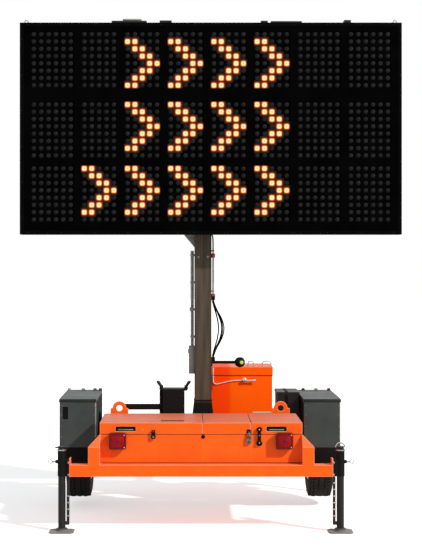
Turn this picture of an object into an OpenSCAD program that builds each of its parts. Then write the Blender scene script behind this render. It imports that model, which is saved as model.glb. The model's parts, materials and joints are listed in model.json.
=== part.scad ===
// Message board trailer: a lamp board on a turning, telescopic mast, carried by a
// single-axle trailer that stands on four drop legs. Millimetres, +Z up.
// The trailer's rear faces -Y, the coupler points to +Y. The origin is on the ground
// under the middle of the whole outline.

/* [Board] */
// Width of the lamp board
board_w = 2740; // [2000:10:3000]
// Height of the lamp board
board_h = 1520; // [1250:10:1800]
// Thickness of the board's housing
board_t = 148; // [110:1:180]
// Height of the raised board's lower edge above the ground
board_bottom = 2040; // [1900:10:2300]
// How far the board's middle lies to the right of the trailer's centre line
board_offset = 75; // [0:5:120]
// Distance between the centres of two lamps, on a board of the standard size
lamp_pitch = 53; // [40:0.5:56]
// Distance between the last lamp of one module and the first of the next
module_gap = 98; // [80:1:110]

/* [Mast] */
// Outer width of the square mast
mast_w = 124; // [100:1:140]
// Wall of the mast tubes
mast_wall = 6; // [4:0.5:8]
// How far the mast's axis lies to the right of the centre line
mast_x = 22; // [0:1:40]
// Distance from the trailer's rear face to the mast's axis
mast_setback = 830; // [815:5:860]
// Distance from the mast's axis to the middle of the board's thickness
board_reach = 215; // [205:1:250]
// Length of the inner mast that stays in the outer one when raised
mast_overlap = 300; // [200:10:400]
// Height of the cradle's floor, where the lowered board rests
cradle_floor = 915; // [880:5:960]

/* [Frame] */
// Side of the square beams across the trailer
beam = 80; // [60:2:100]
// Wall of the beams and rails
beam_wall = 5; // [3:0.5:8]
// Length of the rear and front beams
beam_len = 1780; // [1640:10:1900]
// Height of the frame's underside above the ground
frame_bottom = 382; // [360:2:420]
// Length of the frame from the rear beam to the front beam
frame_len = 1840; // [1700:10:2100]
// Distance from the centre line to each side rail
rail_x = 620; // [560:5:650]
// Width of a side rail
rail_w = 60; // [40:1:80]
// Length of the drawbar ahead of the frame
drawbar_len = 1300; // [900:10:1800]

/* [Toolbox] */
// Width of the toolbox
box_w = 1380; // [1320:10:1440]
// Depth of the toolbox, front to back
box_d = 617; // [500:1:640]
// Height of the toolbox with its lids shut
box_h = 279; // [240:1:320]
// Thickness of the sheet metal
sheet = 3; // [2:0.5:4]
// Depth of the lids' turned-down edge
lid_lip = 75; // [50:1:90]
// Place of the seam between the left and middle lids
seam_left = 13; // [-40:1:60]
// Place of the seam between the middle and right lids
seam_right = 343; // [300:1:400]

/* [Cabinet] */
// Place of the control cabinet's left face
cab_x = 80; // [75:1:110]
// Width of the control cabinet
cab_w = 466; // [400:1:490]
// Depth of the control cabinet
cab_d = 400; // [300:5:450]
// Height of the control cabinet above the frame
cab_h = 591; // [500:1:600]
// Distance from the mast's axis to the cabinet's near face
cab_reach = 220; // [216:1:260]

/* [Wheels] */
// Outer radius of the tyres
tyre_r = 305; // [280:1:320]
// Width of the tyres
tyre_w = 185; // [155:1:205]
// Distance from the centre line to the middle of each wheel
wheel_x = 907; // [895:1:920]
// Radius of the rim
rim_r = 165; // [150:1:180]
// Height of the axle above the ground on raised legs
axle_h = 365; // [350:1:380]
// Distance from the trailer's rear face to the axle
axle_setback = 1200; // [1100:10:1300]

/* [Fenders] */
// Distance from the centre line to a fender's outer face
fender_out = 1030; // [1020:1:1060]
// Width of a fender
fender_w = 268; // [250:1:280]
// Length of a fender
fender_len = 780; // [740:5:860]
// Height of a fender
fender_h = 358; // [320:1:400]

/* [Legs] */
// Diameter of a drop leg
leg_d = 50; // [40:1:54]
// Wall of the leg's sleeve
sleeve_wall = 4; // [3:0.5:6]
// Gap between a beam's end plate and the sleeve
leg_gap = 24; // [22:1:34]
// Width of a foot plate
foot_w = 167; // [120:1:180]

/* [Hidden] */
$fn = 48;

// Clearances
fit = 0.05;          // radial play of a pin or leg in its bore
seat = 0.3;          // gap between parts that turn or slide past each other
lid_play = 1;        // gap between a lid's lip and the wall behind it
seam = 5;            // gap between neighbouring lids
eps = 0.1;           // overshoot of a cut

// Frame, in the trailer's own axes: X from the centre line, Y from the axle
rear_y = -axle_setback;
front_y = rear_y + frame_len;
frame_top = frame_bottom + beam;
end_plate = 8;
end_plate_rise = 44;
rail_in = rail_x - rail_w / 2;
rail_out = rail_x + rail_w / 2;
mast_y = rear_y + mast_setback;
cross_w = 60;
box_y = rear_y + beam;
box_back = box_y + box_d;
base_l = 260;
base_clear = 3;      // gap between the toolbox and the mast's base plate
base_near = box_back + base_clear;
base_far = mast_y + base_l / 2;
cross_ys = [base_near + cross_w / 2, base_far - cross_w / 2, 110, 400];

// Toolbox
lid_top = frame_top + box_h;
box_top = lid_top - 2 * sheet;
lip_y = box_y - lid_play - sheet;
lip_bottom = lid_top - lid_lip;
slot_x = 517;
slot_z = lid_top - 42;
post_w = 80;
post_low = 120;

// Hinges
pin_r = 4;
knuckle_r = 8;
knuckle_l = 42;
hinge_l = 84;
box_hinge_z = lid_top - knuckle_r;

// Cabinet
cab_y = mast_y + cab_reach;
cab_back = cab_y + cab_d;
cab_top = frame_top + cab_h;
cab_lip = 60;
cab_mid = cab_x + cab_w / 2;
cab_hinge_z = cab_top - knuckle_r;
latch_x = cab_mid + 20;
latch_z = cab_top - 98;

// Legs
leg_x = beam_len / 2 + end_plate + leg_gap + leg_d / 2 + sleeve_wall;
sleeve_top = frame_top + 103;
sleeve_r = leg_d / 2 + sleeve_wall;
rear_leg_y = rear_y + beam / 2;
front_leg_y = front_y - beam / 2;
foot_t = 8;
pin_z = frame_top + 18;
leg_pin_r = 6;
pin_boss = 34;

// Mast
mast_bore = mast_w - 2 * mast_wall;
inner_w = mast_bore - 2 * seat;
mast_top = board_bottom + 60;
spindle_r = 50;
pedestal_r = 80;
pedestal_top = frame_top + 98;
base_t = 12;
plug_t = 40;
boot_top = frame_top + 353;
boot_low = frame_top + 228;
boot_w = 162;
rest_gap = 1;
lift_travel = board_bottom - cradle_floor - rest_gap;
inner_low = mast_top - mast_overlap;
board_top = board_bottom + board_h;
board_back = mast_y - board_reach + board_t / 2;
board_face = board_back - board_t;
frame_d = 40;
barrel_r = 36;
rod_r = 22;
barrel_low = pedestal_top + plug_t;
barrel_floor = 20;
barrel_hold = 200;
barrel_top = barrel_low + barrel_floor + lift_travel + barrel_hold;
rod_low = barrel_low + barrel_floor + lift_travel + 10;
rod_cap = barrel_top + lift_travel + 30;
handle_z = 1105;
handle_r = 11;
handle_l = 179;

// Fenders and wheels
fender_low = frame_top + 18;
fender_in = fender_out - fender_w;
fender_y = -(fender_len + 60) / 2;
fender_top = fender_low + fender_h;
arch_r = tyre_r + 35;
outrigger = 40;
spindle_d = 40;
hub_r = 62;
axle_b = 50;
axle_drop = 100;
spring_w = 45;
leaf_t = 7;
spring_half = 350;
spring_sag = 45;
spring_r = (spring_half * spring_half + spring_sag * spring_sag) / (2 * spring_sag);
axle_low = axle_h - axle_drop - axle_b / 2;
spring_seat = axle_low + axle_b;
eye_r = 17;
eye_z = spring_seat + 3 * leaf_t + spring_sag;
bolt_r = 8;
clamp_rise = 1;       // clears the top leaf's curve at the clamp plate's ends
clamp_t = 8;

// Lamp modules: columns of lamps in each, left to right, and rows in each line of text.
// A board larger or smaller than the standard one spreads its lamps to suit.
standard_w = 2740;
standard_h = 1520;
cols = [6, 5, 5, 5, 5, 5, 6, 6];
rows = 8;
line_gaps = [138, 93];
lines_rise = 12;
col_steps = sum_to([for (n = cols) n - 1], len(cols));
col_pitch = lamp_pitch + (board_w - standard_w) / col_steps;
row_pitch = lamp_pitch - 0.7 + (board_h - standard_h) / (3 * (rows - 1));
rows_h = (rows - 1) * row_pitch;
lines_h = 3 * rows_h + line_gaps[0] + line_gaps[1];
function sum_to(v, i) = i <= 0 ? 0 : v[i - 1] + sum_to(v, i - 1);
function col_w(i) = (cols[i] - 1) * col_pitch;
function col_left(i) = -cols_w() / 2 + sum_to([for (k = [0:7]) col_w(k)], i) + i * module_gap;
function cols_w() = sum_to([for (k = [0:7]) col_w(k)], 8) + 7 * module_gap;
function line_z(i) = board_bottom + lines_rise + (board_h + lines_h) / 2 - rows_h / 2
    - i * rows_h - sum_to(line_gaps, i);
module_edge = 22;
module_t = 12;
mask_t = 4;
board_rim = 26;

// Coupler
coupler_l = 210;
coupler_y = front_y + drawbar_len;
tip_y = coupler_y + coupler_l;
ball_r = 25.4;
frame_mid_y = (tip_y + rear_leg_y - foot_w / 2) / 2;

orange = "#f4641e";
steel_black = "#23262a";
slate = "#464b4b";
galv = "#a9adb0";
mast_brown = "#5c5446";
red = "#b01020";

// Moves a part from the trailer's own axes to the origin under the whole outline
module placed() translate([-board_offset, -frame_mid_y, 0]) children();

module both_sides() {
    children();
    mirror([1, 0, 0]) children();
}

// A block given by its low and high corners
module block(lo, hi) translate(lo) cube(hi - lo);

module rod_x(x0, x1, y, z, r) translate([x0, y, z]) rotate([0, 90, 0]) cylinder(r = r, h = x1 - x0);

module rod_y(y0, y1, x, z, r) translate([x, y0, z]) rotate([-90, 0, 0]) cylinder(r = r, h = y1 - y0);

module rounded_square(w, h, r) {
    square([w - 2 * r, h], center = true);
    square([w, h - 2 * r], center = true);
    for (sx = [-1, 1], sz = [-1, 1]) translate([sx * (w / 2 - r), sz * (h / 2 - r)]) circle(r);
}

// A plate in the XZ plane whose near face is at y
module upright(y, t) translate([0, y + t, 0]) rotate([90, 0, 0]) linear_extrude(t) children();

module tube_x(x0, x1, y0, z0, side, wall) difference() {
    block([x0, y0, z0], [x1, y0 + side, z0 + side]);
    block([x0 - eps, y0 + wall, z0 + wall], [x1 + eps, y0 + side - wall, z0 + side - wall]);
}

// A tube swept along points, closed at both ends
function unit(v) = v / norm(v);
function tangent(p, i) = unit(p[min(i + 1, len(p) - 1)] - p[max(i - 1, 0)]);
module swept(points, r, sides, flat = [0, 1, 0]) {
    last = len(points) - 1;
    polyhedron(
        points = [for (i = [0:last]) let (t = tangent(points, i), b = unit(cross(t, flat)))
            for (k = [0:sides - 1]) let (a = 360 * k / sides)
                points[i] + r * (cos(a) * flat + sin(a) * b)],
        faces = concat(
            [for (i = [0:last - 1], k = [0:sides - 1]) let (n = (k + 1) % sides)
                [i * sides + k, (i + 1) * sides + k, (i + 1) * sides + n, i * sides + n]],
            [[for (k = [0:sides - 1]) k], [for (k = [sides - 1:-1:0]) last * sides + k]]));
}

// ---- Frame ----

module cross_member(y) difference() {
    block([-rail_in, y - cross_w / 2, frame_top - cross_w], [rail_in, y + cross_w / 2, frame_top]);
    block([-rail_in - eps, y - cross_w / 2 + beam_wall, frame_top - cross_w - eps],
        [rail_in + eps, y + cross_w / 2 - beam_wall, frame_top - beam_wall]);
}

module side_rails() color(orange) placed() {
    both_sides() {
        difference() {
            block([rail_in, rear_y + beam, frame_bottom], [rail_out, front_y - beam, frame_top]);
            block([rail_in + beam_wall, rear_y, frame_bottom + beam_wall],
                [rail_out - beam_wall, front_y, frame_top - beam_wall]);
        }
        for (y = [fender_y, fender_y + fender_len - outrigger]) difference() {
            block([rail_out, y, fender_low - outrigger],
                [fender_out - 20, y + outrigger, fender_low]);
            block([rail_out + beam_wall, y + sheet, fender_low - outrigger + sheet],
                [fender_out, y + outrigger - sheet, fender_low - sheet]);
        }
    }
    for (y = cross_ys) cross_member(y);
}

// A square beam across the trailer with an upright plate on each end
module end_beam(y0) {
    tube_x(-beam_len / 2, beam_len / 2, y0, frame_bottom, beam, beam_wall);
    both_sides() difference() {
        block([beam_len / 2, y0, frame_bottom - 2],
            [beam_len / 2 + end_plate, y0 + beam, frame_top + end_plate_rise]);
        rod_x(beam_len / 2 - eps, beam_len / 2 + end_plate + eps,
            y0 + beam / 2, frame_bottom + beam / 2, 12);
    }
}

// The corner post beside the toolbox, cut by two slopes at its top
module corner_post() intersection() {
    block([box_w / 2, rear_y, frame_top], [box_w / 2 + post_w, rear_y + beam, lip_bottom]);
    translate([box_w / 2, 0, 0]) rotate([90, 0, 90]) linear_extrude(post_w) polygon([
        [rear_y, frame_top], [rear_y + beam, frame_top],
        [rear_y + beam, lip_bottom], [rear_y, frame_top + post_low]]);
    upright(rear_y, beam) polygon([
        [box_w / 2, frame_top], [box_w / 2 + post_w, frame_top],
        [box_w / 2 + post_w, frame_top + post_low], [box_w / 2, lip_bottom]]);
}

module rear_beam() color(orange) placed() {
    end_beam(rear_y);
    both_sides() corner_post();
}

module front_beam() color(orange) placed() end_beam(front_y - beam);

module drawbar() color(orange) placed() {
    difference() {
        block([-beam / 2, front_y, frame_bottom], [beam / 2, coupler_y, frame_top]);
        block([-beam / 2 + beam_wall, front_y - eps, frame_bottom + beam_wall],
            [beam / 2 - beam_wall, coupler_y + eps, frame_top - beam_wall]);
    }
    both_sides() translate([0, 0, frame_bottom + beam / 2 - 5]) linear_extrude(10) polygon([
        [beam / 2, front_y], [beam / 2 + 180, front_y], [beam / 2, front_y + 260]]);
}

coupler_w = 70;
coupler_h = 64;
latch_y = coupler_y + 60;
latch_ear_z = frame_bottom + coupler_h + 14;
latch_pin_r = 5;
module coupler() color(galv) placed() difference() {
    union() {
        block([-beam / 2, coupler_y, frame_bottom], [beam / 2, coupler_y + 8, frame_top]);
        block([-coupler_w / 2, coupler_y, frame_bottom],
            [coupler_w / 2, tip_y - coupler_w / 2, frame_bottom + coupler_h]);
        translate([0, tip_y - coupler_w / 2, frame_bottom])
            cylinder(r = coupler_w / 2, h = coupler_h);
        for (s = [-1, 1]) block([s * 24 - 3, latch_y - 13, frame_bottom + coupler_h],
            [s * 24 + 3, latch_y + 13, latch_ear_z + 12]);
    }
    translate([0, tip_y - coupler_w / 2, frame_bottom - eps]) cylinder(r = ball_r, h = 40);
    block([-coupler_w / 2 + 8, coupler_y + 20, frame_bottom - eps],
        [coupler_w / 2 - 8, tip_y - coupler_w - 8, frame_bottom + coupler_h - 8]);
    rod_x(-coupler_w, coupler_w, latch_y, latch_ear_z, latch_pin_r + fit);
}

// The coupler's locking lever on its cross pin
module coupler_latch() color(steel_black) placed() {
    rod_x(-20, 20, latch_y, latch_ear_z, 13.7);
    rod_x(-32, 32, latch_y, latch_ear_z, latch_pin_r);
    block([-6, latch_y, latch_ear_z - 5], [6, latch_y + 105, latch_ear_z + 5]);
    block([-14, latch_y + 90, latch_ear_z - 5], [14, latch_y + 110, latch_ear_z + 14]);
}

// ---- Toolbox ----

module toolbox_body() color(orange) placed() difference() {
    block([-box_w / 2, box_y, frame_top], [box_w / 2, box_back, box_top]);
    for (span = [[-box_w / 2 + sheet, seam_left - sheet / 2],
                 [seam_left + sheet / 2, seam_right - sheet / 2],
                 [seam_right + sheet / 2, box_w / 2 - sheet]])
        block([span[0], box_y + sheet, frame_top + sheet],
            [span[1], box_back - sheet, box_top + eps]);
}

// The fixed half of a hinge: its pin, two knuckles and the leaf on the wall
module hinge_fixed(x, wall_y, z) {
    y = wall_y + knuckle_r + 1;
    rod_x(x - hinge_l / 2, x + hinge_l / 2, y, z, pin_r);
    for (s = [-1, 1]) {
        a = x + s * (knuckle_l / 2 + 0.5);
        b = x + s * hinge_l / 2;
        rod_x(min(a, b), max(a, b), y, z, knuckle_r);
        block([min(a, b), wall_y, z - 34], [max(a, b), wall_y + 3, z]);
    }
    block([x - hinge_l / 2, wall_y, z - 34], [x + hinge_l / 2, wall_y + 3, z - knuckle_r - 2]);
}

// The moving half: one knuckle on a tongue of the lid's top sheet
module hinge_moving(x, wall_y, z) {
    y = wall_y + knuckle_r + 1;
    rod_x(x - knuckle_l / 2, x + knuckle_l / 2, y, z, knuckle_r);
    block([x - knuckle_l / 2, wall_y - 10, z + knuckle_r - sheet],
        [x + knuckle_l / 2, y, z + knuckle_r]);
}

module hinge_bore(x, wall_y, z)
    rod_x(x - hinge_l, x + hinge_l, wall_y + knuckle_r + 1, z, pin_r + fit);

hinge_in = 90;
// A lid from x0 to x1; end lips close the outer ends of the row
module lid(x0, x1, left_end, right_end) difference() {
    union() {
        block([x0, lip_y, lid_top - sheet], [x1, box_back, lid_top]);
        block([x0, lip_y, lip_bottom], [x1, lip_y + sheet, lid_top]);
        if (left_end) block([x0, lip_y, lip_bottom], [x0 + sheet, box_back, lid_top]);
        if (right_end) block([x1 - sheet, lip_y, lip_bottom], [x1, box_back, lid_top]);
        for (x = [x0 + hinge_in, x1 - hinge_in]) hinge_moving(x, box_back, box_hinge_z);
    }
    for (x = [x0 + hinge_in, x1 - hinge_in]) hinge_bore(x, box_back, box_hinge_z);
}

lid_end = box_w / 2 + lid_play + sheet;
left_span = [-lid_end, seam_left - seam / 2];
middle_span = [seam_left + seam / 2, seam_right - seam / 2];
right_span = [seam_right + seam / 2, lid_end];

// The long slot in an outer lid's lip, with a bar across it
module lip_slot(x) upright(lip_y - eps, sheet + 2 * eps)
    translate([x, slot_z]) rounded_square(138, 32, 6);
module lip_bar(x) block([x - 69, lip_y + 1, slot_z - 9], [x + 69, lip_y + sheet, slot_z + 3]);

module lid_left() color(orange) placed() {
    difference() {
        lid(left_span[0], left_span[1], true, false);
        lip_slot(-slot_x);
    }
    lip_bar(-slot_x);
}

module lid_middle() color(orange) placed() lid(middle_span[0], middle_span[1], false, false);

module lid_right() color(orange) placed() {
    difference() {
        lid(right_span[0], right_span[1], false, true);
        lip_slot(slot_x);
    }
    lip_bar(slot_x);
}

module hinge_pins() color(galv) placed() {
    for (span = [left_span, middle_span, right_span], x = [span[0] + hinge_in, span[1] - hinge_in])
        hinge_fixed(x, box_back, box_hinge_z);
    for (x = [cab_x + hinge_in, cab_x + cab_w - hinge_in]) hinge_fixed(x, cab_back, cab_hinge_z);
    draw_anchor();
}

battery = [170, 260, 180];
module batteries() color(steel_black) placed() for (i = [0:2]) {
    x = -box_w / 2 + 40 + i * 200;
    y = box_y + 180;
    block([x, y, frame_top + sheet], [x + battery[0], y + battery[1], frame_top + sheet + battery[2]]);
    for (dx = [35, battery[0] - 35])
        translate([x + dx, y + 40, frame_top + sheet + battery[2]]) cylinder(r = 9, h = 16);
}

turn_x = -327;
turn_z = lip_bottom - 20;
module turn_latch() color(steel_black) placed() {
    rod_y(box_y - 24, box_y - seat, turn_x, turn_z, 9);
    block([turn_x - 13, box_y - 24, turn_z - 14], [turn_x + 13, box_y - 14, turn_z + 46]);
}

draw_x = 399;
draw_z = lip_bottom - 66;
draw_y = box_y - 16;
module draw_latch() color("#2c2d2b") placed() difference() {
    union() {
        rod_x(draw_x - 15, draw_x + 15, draw_y, draw_z, 9);
        block([draw_x - 11, draw_y - 6, draw_z], [draw_x + 11, draw_y + 4, draw_z + 98]);
        block([draw_x - 18, draw_y - 8, draw_z + 88], [draw_x + 18, lip_y - seat, draw_z + 104]);
    }
    rod_x(draw_x - 30, draw_x + 30, draw_y, draw_z, pin_r + fit);
}

// The draw latch's anchor: two ears on a base plate, and the pin between them
module draw_anchor() {
    block([draw_x - 22, box_y - 3, draw_z - 20], [draw_x + 22, box_y, draw_z + 20]);
    for (s = [-1, 1]) block([draw_x + s * 18 - 2, draw_y - 8, draw_z - 9],
        [draw_x + s * 18 + 2, box_y, draw_z + 9]);
    rod_x(draw_x - 20, draw_x + 20, draw_y, draw_z, pin_r);
}

lock_x = middle_span[1] - 13;
lock_eye_z = lip_bottom + 4;
// The lid's lock eye, and the padlock hanging in it
module padlock() color(galv) placed() {
    difference() {
        union() {
            block([lock_x - 13, lip_y - 3, lock_eye_z - 4], [lock_x + 13, lip_y, lock_eye_z + 24]);
            block([lock_x - 3, lip_y - 18, lock_eye_z - 8], [lock_x + 3, lip_y, lock_eye_z + 12]);
        }
        rod_x(lock_x - 5, lock_x + 5, lip_y - 10, lock_eye_z, 4.6);
    }
    translate([lock_x, lip_y - 10, lock_eye_z - 9.5]) {
        rotate([90, 0, 0]) rotate_extrude(angle = 180) translate([9.5, 0]) circle(r = 4, $fn = 24);
        for (s = [-1, 1]) translate([s * 9.5, 0, -16]) cylinder(r = 4, h = 16, $fn = 24);
    }
    block([lock_x - 15, lip_y - 19, lock_eye_z - 70], [lock_x + 15, lip_y - 1, lock_eye_z - 25.5 - seat]);
}

lamp_x = 570;
lamp_z = lip_bottom - 46;
lamp_w = 116;
lamp_base = 22;
lens_d = 42;
hood = 44;           // half the width of the lamp's hood
module lamp_housings() color(steel_black) placed() both_sides() difference() {
    union() {
        block([lamp_x - hood, box_y - lamp_base, lamp_z - hood], [lamp_x + hood, box_y, lamp_z + hood - 4]);
        upright(box_y - lamp_base, 4) translate([lamp_x, lamp_z])
            rounded_square(lamp_w, lamp_w - 4, 18);
    }
    block([lamp_x - hood + 4, box_y - lamp_base - eps, lamp_z - hood + 4],
        [lamp_x + hood - 4, box_y - 4, lamp_z + hood - 8]);
}

// The tail lamps' lenses, and the markers on the fenders
module lamp_lenses() color(red) placed() both_sides() {
    difference() {
        upright(box_y - lamp_base - lens_d, lens_d) translate([lamp_x, lamp_z])
            rounded_square(lamp_w, lamp_w - 4, 18);
        upright(box_y - lamp_base - lens_d + 6, lens_d) translate([lamp_x, lamp_z])
            rounded_square(lamp_w - 12, lamp_w - 16, 13);
    }
    for (x = [fender_out - 16, fender_in + 52])
        translate([x, fender_y + fender_len - 60, fender_top + 1]) marker();
}

// ---- Fenders ----

cap_flange = 22;
module fender(slot) difference() {
    union() {
        block([fender_in, fender_y, fender_low], [fender_out, fender_y + fender_len, fender_top]);
        block([fender_in - 1.5, fender_y - 2, fender_top - cap_flange],
            [fender_out + 2, fender_y + fender_len + 2, fender_top + 1]);
    }
    block([fender_in + sheet, fender_y + sheet, fender_low - eps],
        [fender_out - sheet, fender_y + fender_len - sheet, fender_top - sheet]);
    rod_x(fender_in - 5, fender_out + 5, 0, axle_h, arch_r);
    if (slot) upright(fender_y - 5, 10) translate([fender_out - 42, fender_top - 104])
        rounded_square(42, 94, 8);
}

module fenders() color(slate) placed() {
    fender(false);
    mirror([1, 0, 0]) fender(true);
}

marker_r = 15;
marker_h = 12;
marker_cap = 6;
// A small marker lamp, standing on a fender
module marker() {
    cylinder(r = marker_r, h = marker_h);
    translate([0, 0, marker_h]) cylinder(r1 = marker_r, r2 = marker_r - 5, h = marker_cap);
}

// ---- Lugs and cradle ----

lug_x = 590;
lug_w = 130;
lug_y = cross_ys[0] + cross_w / 2 - 10;
lug_hole_z = frame_top + 312;
lug_r = 22;
module lifting_lugs() color(orange) placed() both_sides() difference() {
    union() {
        block([lug_x - lug_w / 2, lug_y, frame_top], [lug_x + lug_w / 2, lug_y + 10, lug_hole_z]);
        upright(lug_y, 10) translate([lug_x, lug_hole_z]) difference() {
            circle(lug_w / 2 - 15);
            translate([-lug_w, -lug_w]) square([2 * lug_w, lug_w]);
        }
        block([lug_x - 12, lug_y + 10, frame_top], [lug_x + 12, lug_y + 60, frame_top + 120]);
    }
    rod_y(lug_y - eps, lug_y + 10 + eps, lug_x, lug_hole_z, lug_r);
}

cradle_x = mast_x - board_reach;
cradle_side = 18;
cradle_play = 8;
cradle_clear = 4;
cradle_half = board_t / 2 + cradle_play;
cradle_y = board_back + frame_d + cradle_clear;
cradle_l = 150;
ear_rise = 50;
ear_flare = 26;
bar_z = frame_top + 300;
bar_side = 40;
// The cradle: a channel with flared ears on a post, and its bar to the left lug
module cradle() color(steel_black) placed() {
    translate([cradle_x, cradle_y + cradle_l, 0]) rotate([90, 0, 0]) linear_extrude(cradle_l)
        for (m = [0, 1]) mirror([m, 0]) polygon([
            [0, cradle_floor - 12], [cradle_half + cradle_side, cradle_floor - 12],
            [cradle_half + cradle_side, cradle_floor + 14],
            [cradle_half + cradle_side + ear_flare, cradle_floor + ear_rise],
            [cradle_half + ear_flare - 2, cradle_floor + ear_rise],
            [cradle_half, cradle_floor + 12], [cradle_half, cradle_floor], [0, cradle_floor]]);
    block([cradle_x - cradle_half + 2, cradle_y, frame_top + 200],
        [cradle_x + cradle_half - 2, cradle_y + 8, cradle_floor - 12]);
    block([cradle_x - 60, cradle_y, frame_top], [cradle_x + 60, cradle_y + 110, frame_top + 10]);
    difference() {
        block([cradle_x - 45, cradle_y + 8, frame_top], [cradle_x + 45, cradle_y + 98, cradle_floor - 12]);
        block([cradle_x - 40, cradle_y + 13, frame_top - eps],
            [cradle_x + 40, cradle_y + 93, cradle_floor - 17]);
    }
    block([-lug_x + lug_r + 2, lug_y + 10, bar_z],
        [cradle_x - 45, lug_y + 10 + bar_side, bar_z + bar_side]);
}

// ---- Cabinet ----

module cabinet_body() color(orange) placed() difference() {
    block([cab_x, cab_y, frame_top], [cab_x + cab_w, cab_back, cab_top - 2 * sheet]);
    block([cab_x + sheet, cab_y + sheet, frame_top + sheet],
        [cab_x + cab_w - sheet, cab_back - sheet, cab_top]);
}

cab_out = lid_play + sheet;
module cabinet_lid() color(orange) placed() difference() {
    union() {
        difference() {
            block([cab_x - cab_out, cab_y - cab_out, cab_top - cab_lip],
                [cab_x + cab_w + cab_out, cab_back, cab_top]);
            block([cab_x - lid_play, cab_y - lid_play, cab_top - cab_lip - eps],
                [cab_x + cab_w + lid_play, cab_back + eps, cab_top - sheet]);
        }
        for (x = [cab_x + hinge_in, cab_x + cab_w - hinge_in])
            hinge_moving(x, cab_back, cab_hinge_z);
    }
    for (x = [cab_x + hinge_in, cab_x + cab_w - hinge_in]) hinge_bore(x, cab_back, cab_hinge_z);
}

module cabinet_latch() color(galv) placed() {
    rod_y(cab_y - 30, cab_y - seat, latch_x, latch_z, 14);
    block([latch_x - 8, cab_y - 30, latch_z - 7], [latch_x + 88, cab_y - 22, latch_z + 7]);
}

// The lanyard from the cabinet's upper left corner to the latch
lanyard_r = 3;
lanyard_y = cab_y - 8;
lanyard_pts = [for (p = [[22, -75], [22, -90], [22, -105], [25, -118], [34, -126], [50, -127],
    [70, -124], [92, -119], [115, -113], [140, -107], [165, -103], [190, -101], [215, -100],
    [238.5, -99]]) [cab_x + p[0], lanyard_y, cab_top + p[1]]];
module latch_lanyard() color("#d8d4c8") placed() {
    swept(lanyard_pts, lanyard_r, 8);
    block([cab_x + 16, cab_y - 12, cab_top - 75], [cab_x + 28, cab_y, cab_top - 66]);
}

module controller() color("#b8bcc0") placed() {
    block([cab_x + 60, cab_y + 60, frame_top + sheet], [cab_x + 340, cab_y + 260, frame_top + 240]);
    for (i = [0:3]) block([cab_x + 90 + i * 60, cab_y + 56, frame_top + 150],
        [cab_x + 120 + i * 60, cab_y + 60, frame_top + 170]);
}

module pump_unit() color(steel_black) placed() {
    block([cab_x + 60, cab_y + 290, frame_top + sheet], [cab_x + 260, cab_y + 380, frame_top + 130]);
    rod_x(cab_x + 260, cab_x + 380, cab_y + 335, frame_top + 70, 42);
}

module battery_case() color(steel_black) placed() {
    x0 = cab_x + cab_w + 42;
    block([x0, cab_y + 30, frame_top], [fender_in - 14, cab_y + 350, frame_top + 380]);
    block([x0 - 4, cab_y + 26, frame_top + 380], [fender_in - 10, cab_y + 354, frame_top + 400]);
}

// ---- Axle, springs and wheels ----

module axle_beam() color(steel_black) placed() {
    neck = rail_out + 25;
    translate([0, axle_b / 2, 0]) rotate([90, 0, 0]) linear_extrude(axle_b) for (m = [0, 1])
        mirror([m, 0]) polygon([
            [0, axle_low], [neck, axle_low], [neck + 75, axle_h - axle_b / 2],
            [wheel_x - 100, axle_h - axle_b / 2], [wheel_x - 100, axle_h + axle_b / 2],
            [neck + 65, axle_h + axle_b / 2], [neck - 10, axle_low + axle_b], [0, axle_low + axle_b]]);
    both_sides() rod_x(wheel_x - 100, wheel_x + 42, 0, axle_h, spindle_d / 2);
}

// One leaf: a curved strip, low in the middle
module leaf(i, half) {
    r = spring_r + i * leaf_t;
    a = asin(half / spring_r);
    translate([rail_x - spring_w / 2, 0, spring_seat + 3 * leaf_t + spring_r])
        rotate([0, 90, 0]) rotate([0, 0, -a]) rotate_extrude(angle = 2 * a, $fn = 180)
            translate([r, 0]) square([leaf_t - 0.1, spring_w]);
}

module leaf_springs() color(steel_black) placed() both_sides() difference() {
    union() {
        leaf(0, spring_half);
        leaf(1, 260);
        leaf(2, 170);
        for (s = [-1, 1]) rod_x(rail_x - spring_w / 2, rail_x + spring_w / 2,
            s * spring_half, eye_z, eye_r);
    }
    for (s = [-1, 1]) rod_x(rail_x - spring_w, rail_x + spring_w, s * spring_half, eye_z, bolt_r + fit);
}

module spring_mounts() color(steel_black) placed() both_sides() {
    for (s = [-1, 1]) {
        rod_x(rail_x - 34, rail_x + 34, s * spring_half, eye_z, bolt_r);
        for (x = [rail_x - 30, rail_x + spring_w / 2 + 0.5]) block(
            [x, s * spring_half - 22, eye_z - 22], [x + 7, s * spring_half + 22, frame_bottom]);
        block([rail_x - 30, s * spring_half - 22, frame_bottom - 6],
            [rail_x + spring_w / 2 + 7.5, s * spring_half + 22, frame_bottom]);
    }
    block([rail_x - 38, -50, axle_low - 10], [rail_x + 38, 50, axle_low]);
    for (x = [-30, 30], y = [-36, 36]) translate([rail_x + x, y, axle_low - 18])
        cylinder(r = 6, h = axle_b + 3 * leaf_t + 42);
    block([rail_x - 38, -50, spring_seat + 3 * leaf_t + clamp_rise],
        [rail_x + 38, 50, spring_seat + 3 * leaf_t + clamp_rise + clamp_t]);
}

module around_wheel() translate([wheel_x, 0, axle_h]) rotate([0, 90, 0]) children();

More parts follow.
